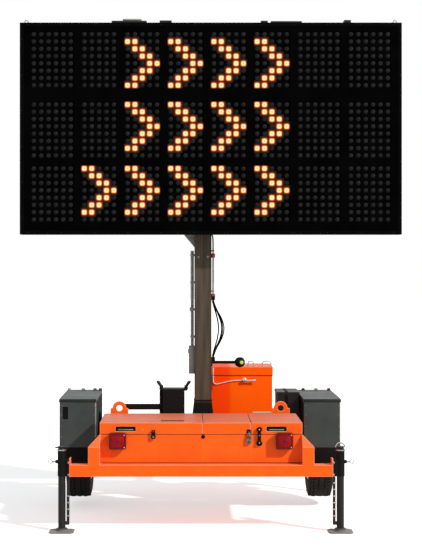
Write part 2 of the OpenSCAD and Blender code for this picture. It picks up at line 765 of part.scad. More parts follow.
// Tyre section: radius across, width up; shoulders and bead are cut corners
module tyre() around_wheel() rotate_extrude($fn = 96) {
    h = tyre_w / 2;
    polygon([[rim_r + seat, -h + 22], [rim_r + 12, -h + 14], [rim_r + 50, -h],
        [tyre_r - 45, -h], [tyre_r - 18, -h + 8], [tyre_r - 5, -h + 22], [tyre_r, -h + 45],
        [tyre_r, h - 45], [tyre_r - 5, h - 22], [tyre_r - 18, h - 8], [tyre_r - 45, h],
        [rim_r + 50, h], [rim_r + 12, h - 14], [rim_r + seat, h - 22],
        [rim_r + seat, h - 34], [rim_r + 60, h - 12], [tyre_r - 30, h - 20],
        [tyre_r - 14, h - 50], [tyre_r - 14, -h + 50], [tyre_r - 30, -h + 20],
        [rim_r + 60, -h + 12], [rim_r + seat, -h + 34]]);
}

lug_circle = 57;
// Rim with its disc, the hub on the spindle, the dust cap and five wheel nuts
module rim() {
    h = tyre_w / 2;
    around_wheel() difference() {
        union() {
            rotate_extrude($fn = 96) polygon([
                [rim_r + 8, -h + 8], [rim_r + 8, -h + 13], [rim_r, -h + 20], [rim_r, h - 20],
                [rim_r + 8, h - 13], [rim_r + 8, h - 8], [rim_r - 4, h - 16],
                [rim_r - 4, 24], [120, 34], [80, 16], [hub_r + 18, 16], [hub_r + 2, 22],
                [hub_r - 20, 22], [hub_r - 20, 10], [80, 10], [120, 28],
                [rim_r - 4, 12], [rim_r - 4, -h + 16]]);
        }
        for (a = [0:45:315]) rotate(a) translate([102, 0, 0]) cylinder(r = 10, h = 60);
        for (a = [0:72:288]) rotate(a) translate([lug_circle, 0, 0]) cylinder(r = 7.2, h = 60);
    }
    around_wheel() difference() {
        union() {
            translate([0, 0, -60]) cylinder(r = 40, h = 105);
            translate([0, 0, 2]) cylinder(r = hub_r + 8, h = 7.8);
            translate([0, 0, 45]) cylinder(r1 = 34, r2 = 26, h = 22);
            for (a = [0:72:288]) rotate(a) translate([lug_circle, 0, 0]) cylinder(r = 7, h = 40);
            for (a = [0:72:288]) rotate(a) translate([lug_circle, 0, 22.2])
                cylinder(r = 11, h = 14, $fn = 6);
        }
        translate([0, 0, -60 - eps]) cylinder(r = spindle_d / 2 + fit, h = 105);
    }
}

module tyre_left() color("#1d1d1c") placed() mirror([1, 0, 0]) tyre();
module tyre_right() color("#1d1d1c") placed() tyre();
module rim_left() color(galv) placed() mirror([1, 0, 0]) rim();
module rim_right() color(galv) placed() rim();

// ---- Drop legs ----

// Sleeve, its webs to the beam's end plate, two bolts and the pin boss
module leg_sleeve(y) difference() {
    web_x = beam_len / 2 + end_plate;
    union() {
        translate([leg_x, y, frame_bottom]) cylinder(r = sleeve_r, h = sleeve_top - frame_bottom);
        for (s = [-1, 1]) block([web_x, y + s * 19 - 4, frame_bottom],
            [leg_x, y + s * 19 + 4, frame_top + 35]);
        for (s = [-1, 1]) block([web_x, min(y + s * 15, y + s * 38), frame_bottom],
            [web_x + 7, max(y + s * 15, y + s * 38), frame_top + 35]);
        for (s = [-1, 1], z = [frame_bottom + 14, frame_top + 20])
            rod_x(web_x + 7, web_x + 14, y + s * 30, z, 7);
        rod_x(leg_x, leg_x + sleeve_r + pin_boss - 20, y, pin_z, 12);
    }
    translate([leg_x, y, frame_bottom - eps])
        cylinder(r = leg_d / 2 + fit, h = sleeve_top - frame_bottom + 2 * eps);
    rod_x(leg_x, leg_x + sleeve_r + pin_boss, y, pin_z, leg_pin_r + fit);
}

module leg_sleeves() color(steel_black) placed() both_sides() {
    leg_sleeve(rear_leg_y);
    leg_sleeve(front_leg_y);
}

bar_w = 22;
bar_t = leg_gap - 7;
bar_low = 50;
foot_rise = bar_low + bar_w;
collar = 14;         // how far the foot's collar stands out from the leg
collar_h = 18;
leg_wall = 5;
notch_r = 5;
notch_step = 45;
notch_low = 110;
// Leg tube, foot plate, lift bar on top and the notched bar that keeps it from turning
module leg(y, turn) {
    bar_x = beam_len / 2 + end_plate + 2;
    difference() {
        union() {
            translate([leg_x, y, foot_t]) cylinder(r = leg_d / 2, h = sleeve_top + 20 - foot_t);
            translate([leg_x, y, foot_t]) cylinder(r = leg_d / 2 + collar, h = collar_h);
            block([bar_x, y - bar_w / 2, bar_low], [bar_x + bar_t, y + bar_w / 2, frame_bottom - 6]);
            block([bar_x, y - bar_w / 2, bar_low], [leg_x, y + bar_w / 2, foot_rise]);
        }
        translate([leg_x, y, bar_low + 10])
            cylinder(r = leg_d / 2 - leg_wall, h = sleeve_top - bar_low - 10);
        for (i = [0:5])
            rod_y(y - bar_w, y + bar_w, bar_x + bar_t / 2, notch_low + i * notch_step, notch_r);
    }
    difference() {
        block([leg_x - foot_w / 2, y - foot_w / 2, 0], [leg_x + foot_w / 2, y + foot_w / 2, foot_t]);
        for (sx = [-1, 1], sy = [-1, 1])
            translate([leg_x + sx * foot_w / 2, y + sy * foot_w / 2, -eps]) rotate(45)
                translate([-18, -18, 0]) cube([36, 36, foot_t + 2 * eps]);
        for (sx = [-1, 1], sy = [-1, 1])
            translate([leg_x + sx * foot_hole, y + sy * foot_hole, -eps])
                cylinder(r = 7, h = foot_t + 2 * eps);
    }
    translate([leg_x, y, sleeve_top + 12]) rotate([0, 90, turn])
        translate([0, 0, -45]) cylinder(r = 5, h = 90);
}
foot_hole = foot_w / 2 - 28;

module leg_rear_left() color(steel_black) placed() mirror([1, 0, 0]) leg(rear_leg_y, 0);
module leg_rear_right() color(steel_black) placed() leg(rear_leg_y, 90);
module leg_front_left() color(steel_black) placed() mirror([1, 0, 0]) leg(front_leg_y, 0);
module leg_front_right() color(steel_black) placed() leg(front_leg_y, 90);

// A pull pin with its ring, its tip just clear of the leg
module pull_pin(y) {
    rod_x(leg_x + leg_d / 2 + seat, leg_x + sleeve_r + pin_boss + 6, y, pin_z, leg_pin_r);
    translate([leg_x + sleeve_r + pin_boss + 16, y, pin_z]) rotate([90, 0, 0])
        rotate_extrude() translate([13, 0]) circle(r = 2.5, $fn = 16);
}

module pin_rear_left() color(galv) placed() mirror([1, 0, 0]) pull_pin(rear_leg_y);
module pin_rear_right() color(galv) placed() pull_pin(rear_leg_y);
module pin_front_left() color(galv) placed() mirror([1, 0, 0]) pull_pin(front_leg_y);
module pin_front_right() color(galv) placed() pull_pin(front_leg_y);

// ---- Mast ----

module at_mast() translate([mast_x, mast_y, 0]) children();

module square_tube(w, wall, z0, z1) difference() {
    translate([-w / 2, -w / 2, z0]) cube([w, w, z1 - z0]);
    translate([-w / 2 + wall, -w / 2 + wall, z0 - eps]) cube([w - 2 * wall, w - 2 * wall, z1 - z0 + 2 * eps]);
}

gusset_t = 10;
module mast_base() color(steel_black) placed() at_mast() difference() {
    union() {
        block([-base_l / 2, base_near - mast_y, frame_top],
            [base_l / 2, base_l / 2, frame_top + base_t]);
        translate([0, 0, frame_top]) cylinder(r = pedestal_r, h = pedestal_top - frame_top - seat);
        for (a = [0:90:270]) let (reach = a == 270 ? mast_y - base_near : base_l / 2)
            rotate(a) translate([0, gusset_t / 2, frame_top + base_t]) rotate([90, 0, 0])
                linear_extrude(gusset_t) polygon([[pedestal_r - 5, 0],
                    [reach - gusset_t, 0], [pedestal_r - 5, 70]]);
    }
    translate([0, 0, frame_top + 4]) cylinder(r = spindle_r + fit, h = pedestal_top);
}

gusset_w = 92;
gusset_h = 150;
module mast_tube() color(mast_brown) placed() at_mast() {
    square_tube(mast_w, mast_wall, pedestal_top + plug_t, mast_top);
    translate([-mast_w / 2, -mast_w / 2, pedestal_top]) cube([mast_w, mast_w, plug_t]);
    translate([0, 0, frame_top + 4 + seat]) cylinder(r = spindle_r, h = pedestal_top - frame_top);
    upright(-6, 12) polygon([[-mast_w / 2, mast_top - 5], [-mast_w / 2 - gusset_w, mast_top - 5],
        [-mast_w / 2 - gusset_w, mast_top - 40], [-mast_w / 2, mast_top - gusset_h]]);
}

module mast_boot() color("#161616") placed() at_mast() difference() {
    hull() {
        translate([0, 0, boot_low]) linear_extrude(1) square(boot_w, center = true);
        translate([0, 0, boot_top - 1]) linear_extrude(1) square(mast_w + 6, center = true);
    }
    hull() {
        translate([0, 0, boot_low - 1]) linear_extrude(1) square(boot_w - 6, center = true);
        translate([0, 0, boot_top]) linear_extrude(1) square(mast_w + 2 * seat, center = true);
    }
    translate([0, 0, boot_low]) linear_extrude(boot_top) square(mast_w + 2 * seat, center = true);
}

// A rod out to the mast's right with a turned knob
module turn_handle() color(steel_black) placed() at_mast() {
    block([mast_w / 2, -30, handle_z - 30], [mast_w / 2 + 8, 30, handle_z + 30]);
    rod_x(mast_w / 2 + 8, mast_w / 2 + handle_l, 0, handle_z, handle_r);
    translate([mast_w / 2 + handle_l, 0, handle_z]) rotate([0, 90, 0]) rotate_extrude() polygon([
        [0, -6], [14, -6], [30, 6], [37, 22], [37, 44], [30, 58], [13, 68], [0, 68]]);
}

valve_z = 1020;
valve_h = 205;
module valve_box() color("#8d9294") placed() at_mast() {
    block([-mast_w / 2 - 42, 0, valve_z], [-mast_w / 2, 60, valve_z + valve_h]);
    block([-mast_w / 2 - 48, 20, valve_z + 150], [-mast_w / 2 - 42, 40, valve_z + 180]);
}

conduit_r = 12;
clip_w = 16;
// Cable conduit up the mast's left side, its clips and the hook ring
module conduit() color(galv) placed() at_mast() {
    z0 = valve_z + valve_h;
    z1 = mast_top - gusset_h - 25;
    translate([-mast_w / 2 - 17, 0, z0]) cylinder(r = conduit_r, h = z1 - z0);
    for (z = [z0 + 60 : 200 : z1 - 30])
        block([-mast_w / 2 - 31, -15, z], [-mast_w / 2, 15, z + clip_w]);
    translate([-mast_w / 2 - 20, -16, z0 + 270]) rotate([90, 0, 0]) rotate_extrude()
        translate([15, 0]) circle(r = 3, $fn = 16);
}

hose_low = 1140;
hose_high = 1560;
hose_r = 8;
hose_bow = 66;
hose_y = 46;
// The hose bows out between its two clips on the mast's right side
hose_pts = [for (i = [0:36]) let (u = i / 36) [mast_w / 2 + 14 + hose_bow * pow(sin(180 * u), 1.4),
    hose_y, hose_low + (hose_high - hose_low) * u]];
module mast_hose() color("#1b1b1b") placed() at_mast() {
    swept(hose_pts, hose_r, 10);
    for (z = [hose_low - 30, hose_high])
        block([mast_w / 2, hose_y - 14, z], [mast_w / 2 + 28, hose_y + 14, z + 30]);
}

// ---- Lift: everything that rises with the inner mast ----

module lift_barrel() color(steel_black) placed() at_mast() difference() {
    translate([0, 0, barrel_low]) cylinder(r = barrel_r, h = barrel_top - barrel_low);
    translate([0, 0, barrel_low + barrel_floor]) cylinder(r = rod_r + fit, h = barrel_top - barrel_low);
}

module lift_rod() color(galv) placed() at_mast()
    translate([0, 0, rod_low]) cylinder(r = rod_r, h = rod_cap - rod_low);

arm_low = mast_top + lift_travel + 20;
arm_h = 200;
arm_high = arm_low + arm_h;
inner_wall = 5;
inner_top = max(board_top - 50, arm_high + 20);
head_w = 120;
head_t = 6;
head_bar = 30;       // height and depth of a bar under the solar panels
bar_reach = 220;     // from the inner mast's far face to the far bar
panel_w = 660;
// The inner mast, the cap that the lift rod pushes, and the bars for the solar panels
module inner_mast() color("#4a453c") placed() at_mast() {
    square_tube(inner_w, inner_wall, inner_low, inner_top);
    translate([-inner_w / 2 + inner_wall, -inner_w / 2 + inner_wall, rod_cap])
        cube([inner_w - 2 * inner_wall, inner_w - 2 * inner_wall, 15]);
    translate([-head_w / 2, -inner_w / 2, inner_top])
        cube([head_w, inner_w + bar_reach + head_bar, head_t]);
    for (y = [-inner_w / 2, inner_w / 2 + bar_reach])
        translate([-panel_w, y, inner_top]) cube([2 * panel_w, head_bar, head_bar]);
}

stile_x = 350;
stile_inset = 20;
// The board's back frame: two stiles, three rails, the mast saddle and a lower guide
module board_frame() color(steel_black) placed() {
    y0 = board_back;
    y1 = board_back + frame_d;
    low = board_bottom + stile_inset;
    high = max(board_top - stile_inset, arm_high);
    at_mast() difference() {
        block([-inner_w / 2 - 10, y1 - mast_y, arm_low],
            [inner_w / 2 + 10, inner_w / 2 + 10, arm_high]);
        block([-inner_w / 2, -inner_w / 2, arm_low - eps], [inner_w / 2, inner_w / 2, arm_high + eps]);
    }
    for (s = [-1, 1]) difference() {
        block([mast_x + s * stile_x - 30, y0, low], [mast_x + s * stile_x + 30, y1, high]);
        block([mast_x + s * stile_x - 25, y0 + 5, low - eps],
            [mast_x + s * stile_x + 25, y1 + eps, high + eps]);
    }
    for (z = [board_bottom + 100, arm_low + 15, arm_high - 65])
        block([mast_x - stile_x + 25, y0, z], [mast_x + stile_x - 25, y1, z + 50]);
    block([mast_x - 40, y1, board_bottom + 100],
        [mast_x + 40, mast_y - mast_w / 2 - 0.5, board_bottom + 150]);
}

module board_housing() color("#101112") placed() difference() {
    block([board_offset - board_w / 2, board_face, board_bottom],
        [board_offset + board_w / 2, board_back, board_top]);
    block([board_offset - board_w / 2 + board_rim, board_face - eps, board_bottom + board_rim],
        [board_offset + board_w / 2 - board_rim, board_back - sheet, board_top - board_rim]);
    block([board_offset - board_w / 2 + sheet, board_face + sheet, board_bottom + sheet],
        [board_offset + board_w / 2 - sheet, board_back - sheet, board_top - sheet]);
}

// One panel per module, standing on the mask
module board_modules() color("#0b0c0d") placed() for (i = [0:7], j = [0:2]) {
    x = board_offset + col_left(i) + col_w(i) / 2;
    w = col_w(i) + 2 * module_edge;
    h = rows_h + 2 * module_edge;
    y = board_face + sheet + mask_t;
    block([x - w / 2 - 4, y, line_z(j) - h / 2 - 4], [x + w / 2 + 4, y + module_t, line_z(j) + h / 2 + 4]);
}

module board_mask() color("#141516") placed() difference() {
    block([board_offset - board_w / 2 + sheet, board_face + sheet, board_bottom + sheet],
        [board_offset + board_w / 2 - sheet, board_face + sheet + mask_t, board_top - sheet]);
    for (i = [0:7], j = [0:2]) {
        x = board_offset + col_left(i) + col_w(i) / 2;
        w = col_w(i) + 2 * module_edge;
        h = rows_h + 2 * module_edge;
        block([x - w / 2, board_face, line_z(j) - h / 2],
            [x + w / 2, board_face + sheet + mask_t + eps, line_z(j) + h / 2]);
    }
}

panel_l = 740;
panel_t = 35;
panel_gap = 20;
panel_frame = 25;    // width of a panel's frame, open below
panel_glass = 6;
panel_y = board_back + frame_d + 10;
panel_z = inner_top + head_bar;
// Two solar panels on the bars over the mast's head
module solar_panels() color("#20262e") placed() {
    for (s = [-1, 1]) {
        x = mast_x + s * (panel_w + panel_gap) / 2;
        difference() {
            block([x - panel_w / 2, panel_y, panel_z],
                [x + panel_w / 2, panel_y + panel_l, panel_z + panel_t]);
            block([x - panel_w / 2 + panel_frame, panel_y + panel_frame, panel_z - eps],
                [x + panel_w / 2 - panel_frame, panel_y + panel_l - panel_frame,
                    panel_z + panel_t - panel_glass]);
        }
    }
}

// Low fittings along the board's top edge: near corner from the board's left end, width, height
top_fittings_at = [[658, 252, 15], [1003, 87, 17], [1729, 51, 15], [1801, 223, 12], [2326, 50, 20]];
fitting_inset = 5;
fitting_d = 78;
antenna_in = [79, 137];   // from the first fitting's end, width
antenna_h = 17;
antenna_r = 30;
antenna_taper = 8;
module top_fittings() color("#141516") placed()
    translate([board_offset - board_w / 2, board_face + fitting_inset, board_top]) {
        for (f = top_fittings_at)
            translate([f[0] * board_w / standard_w, 0, 0]) cube([f[1], fitting_d, f[2]]);
        translate([top_fittings_at[0][0] * board_w / standard_w + antenna_in[0], fitting_d / 2,
            top_fittings_at[0][2]]) antenna();
    }

// The low antenna that stands on the first fitting
module antenna() hull() for (x = [antenna_r, antenna_in[1] - antenna_r])
    translate([x, 0, 0]) cylinder(r1 = antenna_r, r2 = antenna_r - antenna_taper, h = antenna_h);

eye_inset = 41;
module lifting_eyes() color(galv) placed() for (x = [board_offset - board_w / 2 + eye_inset,
        board_offset + board_w / 2 - eye_inset]) difference() {
    y = (board_face + board_back) / 2;
    union() {
        translate([x, y, board_top]) cylinder(r = 14, h = 6);
        upright(y - 5, 10) translate([x, board_top + 16]) circle(15);
    }
    rod_y(y - 10, y + 10, x, board_top + 17, 8);
    block([x - 20, y - 20, board_top - 20], [x + 20, y + 20, board_top]);
}

side_rails();
rear_beam();
front_beam();
drawbar();
coupler();
coupler_latch();
toolbox_body();
lid_left();
lid_middle();
lid_right();
hinge_pins();
batteries();
turn_latch();
draw_latch();
padlock();
lamp_housings();
lamp_lenses();
fenders();
lifting_lugs();
cradle();
cabinet_body();
cabinet_lid();
cabinet_latch();
latch_lanyard();
controller();
pump_unit();
battery_case();
axle_beam();
leaf_springs();
spring_mounts();
tyre_left();
tyre_right();
rim_left();
rim_right();
leg_sleeves();
leg_rear_left();
leg_rear_right();
leg_front_left();
leg_front_right();
pin_rear_left();
pin_rear_right();
pin_front_left();
pin_front_right();
mast_base();
mast_tube();
mast_boot();
turn_handle();
valve_box();
conduit();
mast_hose();
lift_barrel();
inner_mast();
lift_rod();
board_frame();
board_housing();
board_modules();
board_mask();
top_fittings();
solar_panels();
lifting_eyes();
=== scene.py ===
# %% [markdown]
# A towed message board: a lamp board on a turning mast, over a single-axle trailer.
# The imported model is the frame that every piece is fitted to. It is in metres, with +Z
# up, and the trailer's rear and its lamps face -Y. Nothing in it is ever moved.

# %% Load the frame
import json
import math
import bmesh
import bpy
from mathutils import Matrix, Vector


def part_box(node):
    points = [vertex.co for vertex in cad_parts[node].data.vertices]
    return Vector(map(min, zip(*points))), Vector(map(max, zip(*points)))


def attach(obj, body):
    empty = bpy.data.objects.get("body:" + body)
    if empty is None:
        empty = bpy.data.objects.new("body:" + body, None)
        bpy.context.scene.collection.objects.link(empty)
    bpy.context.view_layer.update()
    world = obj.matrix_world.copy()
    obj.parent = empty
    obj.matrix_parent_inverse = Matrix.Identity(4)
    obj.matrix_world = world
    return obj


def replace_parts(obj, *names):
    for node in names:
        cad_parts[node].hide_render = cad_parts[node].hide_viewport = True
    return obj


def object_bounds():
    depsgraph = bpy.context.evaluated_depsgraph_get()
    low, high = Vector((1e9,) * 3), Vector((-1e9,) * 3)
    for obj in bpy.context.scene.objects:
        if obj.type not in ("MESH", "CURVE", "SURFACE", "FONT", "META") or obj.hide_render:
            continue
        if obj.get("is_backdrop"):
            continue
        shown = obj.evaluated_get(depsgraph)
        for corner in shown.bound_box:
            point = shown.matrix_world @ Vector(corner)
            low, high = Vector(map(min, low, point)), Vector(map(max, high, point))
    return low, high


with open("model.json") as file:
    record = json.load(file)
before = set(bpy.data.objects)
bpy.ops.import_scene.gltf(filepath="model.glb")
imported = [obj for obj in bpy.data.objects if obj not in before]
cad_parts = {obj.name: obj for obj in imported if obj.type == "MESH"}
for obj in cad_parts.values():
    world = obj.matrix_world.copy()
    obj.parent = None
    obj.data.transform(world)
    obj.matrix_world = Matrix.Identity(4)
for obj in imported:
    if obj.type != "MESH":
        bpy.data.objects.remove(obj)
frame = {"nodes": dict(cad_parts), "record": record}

MM = 0.001
RIGHT, AHEAD, REAR, UP, DOWN = (1, 0, 0), (0, 1, 0), (0, -1, 0), (0, 0, 1), (0, 0, -1)
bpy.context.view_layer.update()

# %% [markdown]
# The camera stands 10 m behind the trailer and 1.85 m up, where a person would stand to
# take in the whole board. A long lens keeps the board's edges nearly parallel. It looks
# level, so upright edges stay upright, and a small shift frames the object instead of a tilt.
# A shift is a share of the frame's long side.

# %% Camera
LENS_MM, SHIFT_RIGHT, SHIFT_DOWN = 95.5235, 0.04693, 0.02888
EYE = (-0.185, -11.653, 1.85)
LEVEL = (math.pi / 2, 0, 0)
camera_data = bpy.data.cameras.new("camera")
camera_data.lens = LENS_MM
camera_data.shift_x, camera_data.shift_y = SHIFT_RIGHT, -SHIFT_DOWN
camera = bpy.data.objects.new("camera", camera_data)
camera.location, camera.rotation_euler = EYE, LEVEL
bpy.context.scene.collection.objects.link(camera)
bpy.context.scene.camera = camera
print("lens", round(camera_data.lens, 1), "mm")

# %% [markdown]
# A material is a small network of nodes. One function adds a node: a keyword names one of
# its properties or, with _ for a space, one of its sockets. Its inputs are given by name or
# number, and each takes another node's output or a colour. Colours are written as sRGB hex,
# as a paint chart gives them, and turned to linear.

# %% Helpers for materials
def linear(hex_colour):
    parts = [int(hex_colour[i:i + 2], 16) / 255 for i in (1, 3, 5)]
    return (*[c / 12.92 if c <= 0.04045 else ((c + 0.055) / 1.055) ** 2.4 for c in parts], 1)


def add(tree, kind, inputs=None, **settings):
    made = tree.nodes.new("ShaderNode" + kind)
    for key, value in settings.items():
        if key in made.bl_rna.properties:
            setattr(made, key, value)
        else:
            made.inputs[key.replace("_", " ")].default_value = value
    for socket, source in (inputs or {}).items():
        if isinstance(source, str):
            made.inputs[socket].default_value = linear(source)
        else:
            tree.links.new(source, made.inputs[socket])
    return made


def new_material(name):
    made = bpy.data.materials.new(name)
    made.use_nodes = True
    made.node_tree.nodes.clear()
    return made, made.node_tree


# A Mix node uses the same names for its number, vector and colour sockets, so the ones
# that blend two colours are given by number
SHARE, COLOUR_A, COLOUR_B, BLENDED = 0, 6, 7, 2

# %% [markdown]
# Most of the trailer is sheet steel under paint, and one function makes nearly every finish.
# Real paint varies in patches, has a fine texture from the spray and wears through on its
# folded edges. The edge colour is that wear, and on the orange and slate paints it is also a
# painted highlight where a fold would catch the light; on the mast it is painted shade. Dust
# lies on what faces up, in streaks. A Bevel node finds the edges: where it bends the surface's
# direction, an edge is near. A leg is worn bare towards its foot, and the cabinet has painted
# shade towards its left side. Both are fades between two places on the object, in metres.

# %% A worn surface, with painted edge light
FOOT_FADE, LEFT_SHADE_FADE = (0.03, 0.009), (0.17, 0.14)
SPRAY_GRAIN = 0.5 * MM
# How far two directions agree, as a cosine, where the edge colour begins and where it is full
EDGE_WEAR_AND_LIGHT_BEGINS, EDGE_WEAR_AND_LIGHT_FULL = 0.995, 0.85


def worn(name, colour, shade, rough, patch_mm=150, grain_mm=2.0, grain=0.06, edge_mm=2.0,
         edge_wear_and_painted_light_colour=None, edge_amount=0.5, edge_break=0.5, dust="#a39a8c", dust_amount=0.12,
         stretch=(1, 1, 1), foot_colour=None, left_shade_colour=None, **shader_settings):
    made, tree = new_material(name)
    place = add(tree, "TexCoord")
    turned_place = add(tree, "Mapping", {"Vector": place.outputs["Object"]}, Scale=stretch)
    patches = add(tree, "TexNoise", {"Vector": turned_place.outputs["Vector"]},
                  Scale=1000 / patch_mm, Detail=6, Roughness=0.6)
    grains = add(tree, "TexNoise", {"Vector": place.outputs["Object"]}, Scale=1000 / grain_mm, Detail=2)
    spread = add(tree, "MapRange", {"Value": patches.outputs[0]}, From_Min=0.35, From_Max=0.65)
    base = add(tree, "Mix", {SHARE: spread.outputs[0], COLOUR_A: colour, COLOUR_B: shade},
               data_type="RGBA").outputs[BLENDED]
    bent_way = add(tree, "Bevel", samples=6, Radius=edge_mm * MM)
    facing = add(tree, "NewGeometry")
    # The edge colour is wear, and on the orange and slate paints also a painted highlight; on the mast it
    # is painted shade.
    if edge_wear_and_painted_light_colour:
        same = add(tree, "VectorMath", {0: bent_way.outputs[0], 1: facing.outputs["Normal"]},
                   operation="DOT_PRODUCT")
        near = add(tree, "MapRange", {"Value": same.outputs["Value"]}, From_Min=EDGE_WEAR_AND_LIGHT_BEGINS,
                   From_Max=EDGE_WEAR_AND_LIGHT_FULL, To_Max=edge_amount)
        gaps = add(tree, "MapRange", {"Value": spread.outputs[0]}, To_Min=1 - edge_break)
        broken = add(tree, "Math", {0: near.outputs[0], 1: gaps.outputs[0]}, operation="MULTIPLY")
        base = add(tree, "Mix", {SHARE: broken.outputs[0], COLOUR_A: base, COLOUR_B: edge_wear_and_painted_light_colour},
                   data_type="RGBA").outputs[BLENDED]
    if dust_amount:
        up = add(tree, "SeparateXYZ", {0: facing.outputs["Normal"]})
        lying = add(tree, "MapRange", {"Value": up.outputs["Z"]}, From_Min=0.3, To_Max=dust_amount)
        streaks = add(tree, "MapRange", {"Value": patches.outputs[0]}, From_Min=0.4, From_Max=0.6,
                      To_Min=0.7)
        film = add(tree, "Math", {0: lying.outputs[0], 1: streaks.outputs[0]}, operation="MULTIPLY")
        base = add(tree, "Mix", {SHARE: film.outputs[0], COLOUR_A: base, COLOUR_B: dust},
                   data_type="RGBA").outputs[BLENDED]
    if foot_colour:
        height = add(tree, "SeparateXYZ", {0: place.outputs["Object"]})
        low = add(tree, "MapRange", {"Value": height.outputs["Z"]}, From_Min=FOOT_FADE[0],
                  From_Max=FOOT_FADE[1])
        base = add(tree, "Mix", {SHARE: low.outputs[0], COLOUR_A: base, COLOUR_B: foot_colour},
                   data_type="RGBA").outputs[BLENDED]
    # Painted shade: the colour turns a deeper red towards the cabinet's left side.
    if left_shade_colour:
        across = add(tree, "SeparateXYZ", {0: place.outputs["Object"]})
        left = add(tree, "MapRange", {"Value": across.outputs["X"]}, From_Min=LEFT_SHADE_FADE[0],
                   From_Max=LEFT_SHADE_FADE[1], To_Max=0.8)
        base = add(tree, "Mix", {SHARE: left.outputs[0], COLOUR_A: base, COLOUR_B: left_shade_colour},
                   data_type="RGBA").outputs[BLENDED]
    roughness = add(tree, "MapRange", {"Value": patches.outputs[0]}, From_Min=0.3, From_Max=0.7,
                    To_Min=rough[0], To_Max=rough[1])
    bump = add(tree, "Bump", {"Height": grains.outputs[0], "Normal": bent_way.outputs[0]},
               Strength=grain, Distance=SPRAY_GRAIN)
    shader = add(tree, "BsdfPrincipled", {"Base Color": base, "Roughness": roughness.outputs[0],
                 "Normal": bump.outputs[0]}, **shader_settings)
    add(tree, "OutputMaterial", {"Surface": shader.outputs[0]})
    print("mixed", name)
    return made

# %% [markdown]
# The paints. Safety orange is a two-pack enamel, sprayed on folded sheet, weathered to a
# low gloss, with a pale painted highlight on its folds. The cabinet's orange is purer and
# shines less, and it has painted shade towards its left side, where it turns a deeper red. The
# lids' tops carry a pale, streaky film of dust. The dark orange is painted shade, for the seals
# that lie in the gaps under edges.

# %% Orange paints
# The pale edge colour is a painted highlight on the orange's folds, as well as wear.
orange = worn("two_pack_safety_orange_enamel", "#ff620a", "#f55806", (0.42, 0.58), edge_mm=6,
              edge_wear_and_painted_light_colour="#ffcfb0", edge_amount=1.0, edge_break=0.3, dust="#e59a7c", dust_amount=0.5,
              Specular_IOR_Level=0.22)
orange_lid = worn("dusty_safety_orange_enamel", "#ff620a", "#f55806", (0.42, 0.6), patch_mm=60,
                  stretch=(0.25, 1, 1), edge_mm=6, edge_wear_and_painted_light_colour="#ffcfb0", edge_amount=1.0,
                  edge_break=0.25, dust="#c27a64", dust_amount=0.8, Specular_IOR_Level=0.22)
# The cabinet turns a deeper red towards its left: painted shade.
orange_cabinet = worn("two_pack_deep_orange_enamel", "#ff6400", "#ff5b00", (0.5, 0.65), patch_mm=260,
                      edge_mm=5, edge_wear_and_painted_light_colour="#ff9a5c", edge_amount=0.8, edge_break=0.3,
                      dust="#e8b09c", dust_amount=0.6, left_shade_colour="#fb3d00", Specular_IOR_Level=0.08)
# The dark orange of the seals is painted shade in the gaps.
orange_shade = worn("painted_shade_orange_seal", "#702404", "#5c1c02", (0.55, 0.7), edge_mm=1,
                    dust_amount=0)

# %% [markdown]
# The dark paints. The fenders are a satin slate with a painted highlight on their edges and
# hems, and painted shade in the fold under their tops. The running gear is a black chassis
# enamel, and the legs' feet are worn to bare grey steel. The mast is an old olive-brown whose
# streaks run down it, so its pattern is stretched along Z, and its edges are painted darker as
# shade.

# %% Dark paints
# The slate's pale edge colour is a painted highlight on the fenders' edges.
slate = worn("satin_slate_enamel", "#3b4647", "#333c3e", (0.45, 0.62), edge_mm=4, edge_wear_and_painted_light_colour="#858d8a",
             edge_amount=0.8, edge_break=0.4, dust="#667072", dust_amount=0.35, Specular_IOR_Level=0.22)
# The darker slate under the fenders' tops is painted shade.
slate_fold_shade = worn("shaded_slate_enamel", "#252b2c", "#1e2324", (0.5, 0.65), patch_mm=60, edge_mm=1.5,
                  edge_wear_and_painted_light_colour="#5b6466", edge_amount=0.6, dust_amount=0, Specular_IOR_Level=0.15)
# Pale slate: a painted highlight on the fenders' hems, and plain grey paint on the slot bars.
pale_slate_and_hem_highlight = worn("pale_slate_enamel_and_hem_highlight", "#8d9492", "#747b79", (0.45, 0.6), patch_mm=40, dust_amount=0)
black = worn("black_chassis_enamel", "#0c0c0e", "#08090a", (0.5, 0.68), edge_mm=2.5,
             edge_wear_and_painted_light_colour="#34383a", edge_amount=0.5, dust="#2e2c2a", dust_amount=0.2,
             Specular_IOR_Level=0.12)
black_leg = worn("worn_black_leg_enamel", "#0f1113", "#16191b", (0.42, 0.6), patch_mm=50, edge_mm=2.5,
                 edge_wear_and_painted_light_colour="#5a5f61", edge_amount=0.7, foot_colour="#7f8385", dust="#54524e",
                 dust_amount=0.3, Specular_IOR_Level=0.3)
# The mast's dark edge colour is painted shade on the tube's corners.
mast_brown = worn("weathered_olive_brown_enamel", "#51493c", "#352e25", (0.45, 0.62), patch_mm=22,
                  stretch=(1, 1, 0.05), edge_mm=5, edge_wear_and_painted_light_colour="#211c17", edge_amount=0.7,
                  Specular_IOR_Level=0.25)

# %% [markdown]
# Metals. Zinc plate is a pale blue-grey, and galvanised steel is duller and mottled by its
# spangle. Hard chrome is ground smooth, and a lock's steel is browned where hands and weather
# reach it. The board's housing is aluminium under a matt black powder coat, so it behaves as
# a plastic and not as a metal, and it hardly shines.

